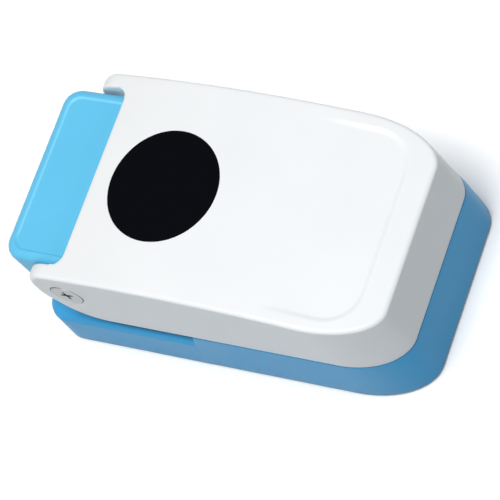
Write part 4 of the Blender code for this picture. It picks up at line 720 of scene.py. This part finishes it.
def cross_share(x, y):
    """1 in the floor of a cross recess, 0 outside: a smooth ramp of the distance inside either of
    two bars, whose ends taper."""
    far = np.maximum(np.abs(x), np.abs(y))
    near = np.minimum(np.abs(x), np.abs(y))
    half_width = CROSS_HALF_WIDTH * (CROSS_ROOT - CROSS_TAPER * far / CROSS_REACH)
    return smooth_step(np.minimum(half_width - near, CROSS_REACH - far) / CROSS_WALL)


def screw_grid(side):
    """Head and shank of a screw as rings about its axis: a shallow dome less the recess, the round
    rim, the head's underside and the shank."""
    around = np.linspace(0.0, 2 * pi, SCREW_AROUND, endpoint=False)
    reach = np.linspace(0.0, HEAD_RADIUS - HEAD_ROUND, SCREW_RINGS)
    rounding = quarter(SCREW_RIM_STEPS)[1:]
    radii = np.concatenate([reach, HEAD_RADIUS - HEAD_ROUND * (1 - np.sin(rounding)),
                            [HEAD_RADIUS, SHANK_RADIUS, SHANK_RADIUS, 0.0]])
    depths = np.concatenate([np.zeros(SCREW_RINGS), HEAD_ROUND * (1 - np.cos(rounding)),
                             [HEAD_THICKNESS, HEAD_THICKNESS, HEAD_THICKNESS + SHANK_LENGTH,
                              HEAD_THICKNESS + SHANK_LENGTH]])
    u, v = radii[:, None] * np.cos(around), radii[:, None] * np.sin(around)
    on_face = (np.arange(len(radii)) < SCREW_RINGS)[:, None]
    turn = side * CROSS_TURN
    sunk = cross_share(u * cos(turn) - v * sin(turn), u * sin(turn) + v * cos(turn)) * on_face
    y = EAR_OUTER + SCREW_PROUD - depths[:, None] - CROSS_DEPTH * sunk
    return stacked(PIVOT_X + u, side * y, PIVOT_Z + v)


def recess_attribute(mesh, side):
    """Writes how deep each point of the face lies below it, as a share of the recess."""
    places = np.empty(len(mesh.vertices) * 3)
    mesh.vertices.foreach_get("co", places)
    x, y, z = places.reshape(-1, 3).T
    below = (EAR_OUTER + SCREW_PROUD - side * y) / CROSS_DEPTH
    inside = np.hypot(x - PIVOT_X, z - PIVOT_Z) < CROSS_REACH * CROSS_MARGIN
    shares = np.clip(below, 0.0, 1.0) * inside
    mesh.attributes.new("recess", "FLOAT", "POINT").data.foreach_set("value", shares)


screw_steel = Finish("pivot_screw_steel", SCREW_ROUGHNESS, metallic=1.0)
recess = screw_steel.node("ShaderNodeAttribute", {"attribute_name": "recess"}, output="Fac")
wear = screw_steel.noise(screw_steel.place(), WEAR_SCALE, detail=4.0, roughness=0.6)
# Painted shade: with its depth, the recess turns near black and loses its metal.
recess_shade = (recess * RECESS_SHADE_GAIN).clipped()
dull = (recess * RECESS_DULL_GAIN).clipped() * RECESS_DULL
plate_tone = screw_steel.mixed(wear, rgba(SCREW_GREY, SCREW_DARK), rgba(SCREW_GREY, SCREW_LIGHT))
screw_steel.feed("Base Color", screw_steel.mixed(recess_shade, plate_tone, rgba(RECESS_SHADE_BLACK)))
screw_steel.feed("Roughness", SCREW_ROUGHNESS + (wear - NOISE_MEAN) * WEAR_ROUGHNESS + dull)
screw_steel.feed("Metallic", 1.0 - recess_shade)
screw_steel.relief(wear, WEAR_DEPTH, WEAR_STRENGTH)

for side, end in ((-1, "near"), (1, "far")):
    mesh = joined_grids(f"pivot_screw_{end}_face", [(screw_grid(side), False, True)])
    recess_attribute(mesh, side)
    screw = as_piece(f"pivot_screw_{end}_face", mesh, screw_steel.material)
    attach(screw, "body")
    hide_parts(f"pivot_screw_{end}")


# Floor and light
# White table top that fades into its own glow away from the object, under one large soft lamp almost
# straight above. Two weaker ones stand low at the press end and at the near side. The air is dim for
# light that falls on surfaces, and white where the camera or a reflection sees it.
FLOOR_SIZE, FLOOR_ROUGHNESS, FLOOR_SPECULAR = 6.0, 0.9, 0.1
FLOOR_BOUNCE, FLOOR_WHITE = (0.15, 0.165, 0.18, 1.0), (0.98, 0.98, 0.98, 1.0)
HAZE_START, HAZE_REACH, HAZE_LEAST = 0.35, 0.60, 0.09
AIR_LEVEL = 0.15
BLACK, WHITE = (0.0, 0.0, 0.0, 1.0), (1.0, 1.0, 1.0, 1.0)
LIGHT_TARGET = Vector((0.0, 0.0, 0.03))

plane = bpy.data.meshes.new("floor")
half = FLOOR_SIZE / 2
plane.from_pydata([(-half, -half, 0), (half, -half, 0), (half, half, 0), (-half, half, 0)], [],
                  [(0, 1, 2, 3)])
floor = bpy.data.objects.new("floor", plane)
bpy.context.scene.collection.objects.link(floor)
paper = Finish("floor_paper", FLOOR_ROUGHNESS, specular=FLOOR_SPECULAR)
rays = (paper.node("ShaderNodeLightPath", output="Is Camera Ray")
        + paper.node("ShaderNodeLightPath", output="Is Glossy Ray")
        + paper.node("ShaderNodeLightPath", output="Is Transmission Ray")).clipped()
paper.feed("Base Color", paper.mixed(rays, FLOOR_BOUNCE, FLOOR_WHITE))
away = paper.node("ShaderNodeVectorMath", {"operation": "LENGTH"}, {0: paper.place()}, output="Value")
haze = ((away - HAZE_START) / HAZE_REACH).clipped() + HAZE_LEAST
paper.feed("Emission Color", paper.mixed(rays * haze, BLACK, WHITE))
paper.feed("Emission Strength", 1.0)
dress(floor, paper.material)


def lamp(name, place, size, power, colour=(1.0, 1.0, 1.0)):
    """A square area lamp that faces the object."""
    light = bpy.data.lights.new(name, "AREA")
    light.size, light.energy, light.color = size, power, colour
    made = bpy.data.objects.new(name, light)
    made.location = place
    made.rotation_euler = (LIGHT_TARGET - Vector(place)).to_track_quat("-Z", "Y").to_euler()
    bpy.context.scene.collection.objects.link(made)


lamp("key", place=(-0.02, -0.18, 1.28), size=0.60, power=13.9)
lamp("press_end", place=(1.00, 0.45, 0.32), size=0.50, power=2.8, colour=(0.93, 1.0, 1.03))
lamp("near_side", place=(0.10, -1.10, 0.25), size=0.80, power=4.3, colour=(0.95, 1.02, 1.05))

world = bpy.data.worlds.new("studio")
world.use_nodes = True
sky = world.node_tree
background = sky.nodes["Background"]
background.inputs["Color"].default_value = WHITE
path = sky.nodes.new("ShaderNodeLightPath")
level = None
for kind in ("Is Camera Ray", "Is Glossy Ray", "Is Transmission Ray"):
    brighter = sky.nodes.new("ShaderNodeMath")
    brighter.operation = "MULTIPLY_ADD"
    brighter.inputs[1].default_value = 1.0 - AIR_LEVEL
    brighter.inputs[2].default_value = AIR_LEVEL
    sky.links.new(path.outputs[kind], brighter.inputs[0])
    if level:
        sky.links.new(level, brighter.inputs[2])
    level = brighter.outputs[0]
sky.links.new(level, background.inputs["Strength"])
bpy.context.scene.world = world
bpy.context.scene.view_settings.view_transform = "Standard"


# Camera
# It stands where the photograph was taken from. Its turn vector and its shift, in millimetres, were
# fitted to the object's outlines in the photograph.
TURN = Vector((2.6549, 0.3533, -0.6539))
SHIFT = Vector((-3.899, -8.4195, 791.5899))
FITTED_ORIGIN = Vector((-0.47, 0.0, 30.6))
MILLIMETRE = 0.001
SENSOR_WIDTH, FOCAL_LENGTH = 36.0, 184.8815

turned = Matrix.Rotation(TURN.length, 3, TURN / TURN.length)
spot = (FITTED_ORIGIN - turned.transposed() @ SHIFT) * MILLIMETRE
view = Matrix((turned[0], -turned[1], -turned[2])).transposed().to_4x4()
view.translation = spot
camera = bpy.data.objects.new("camera", bpy.data.cameras.new("camera"))
camera.data.sensor_width = SENSOR_WIDTH
camera.data.lens = FOCAL_LENGTH
camera.matrix_world = view
bpy.context.scene.collection.objects.link(camera)
bpy.context.scene.camera = camera
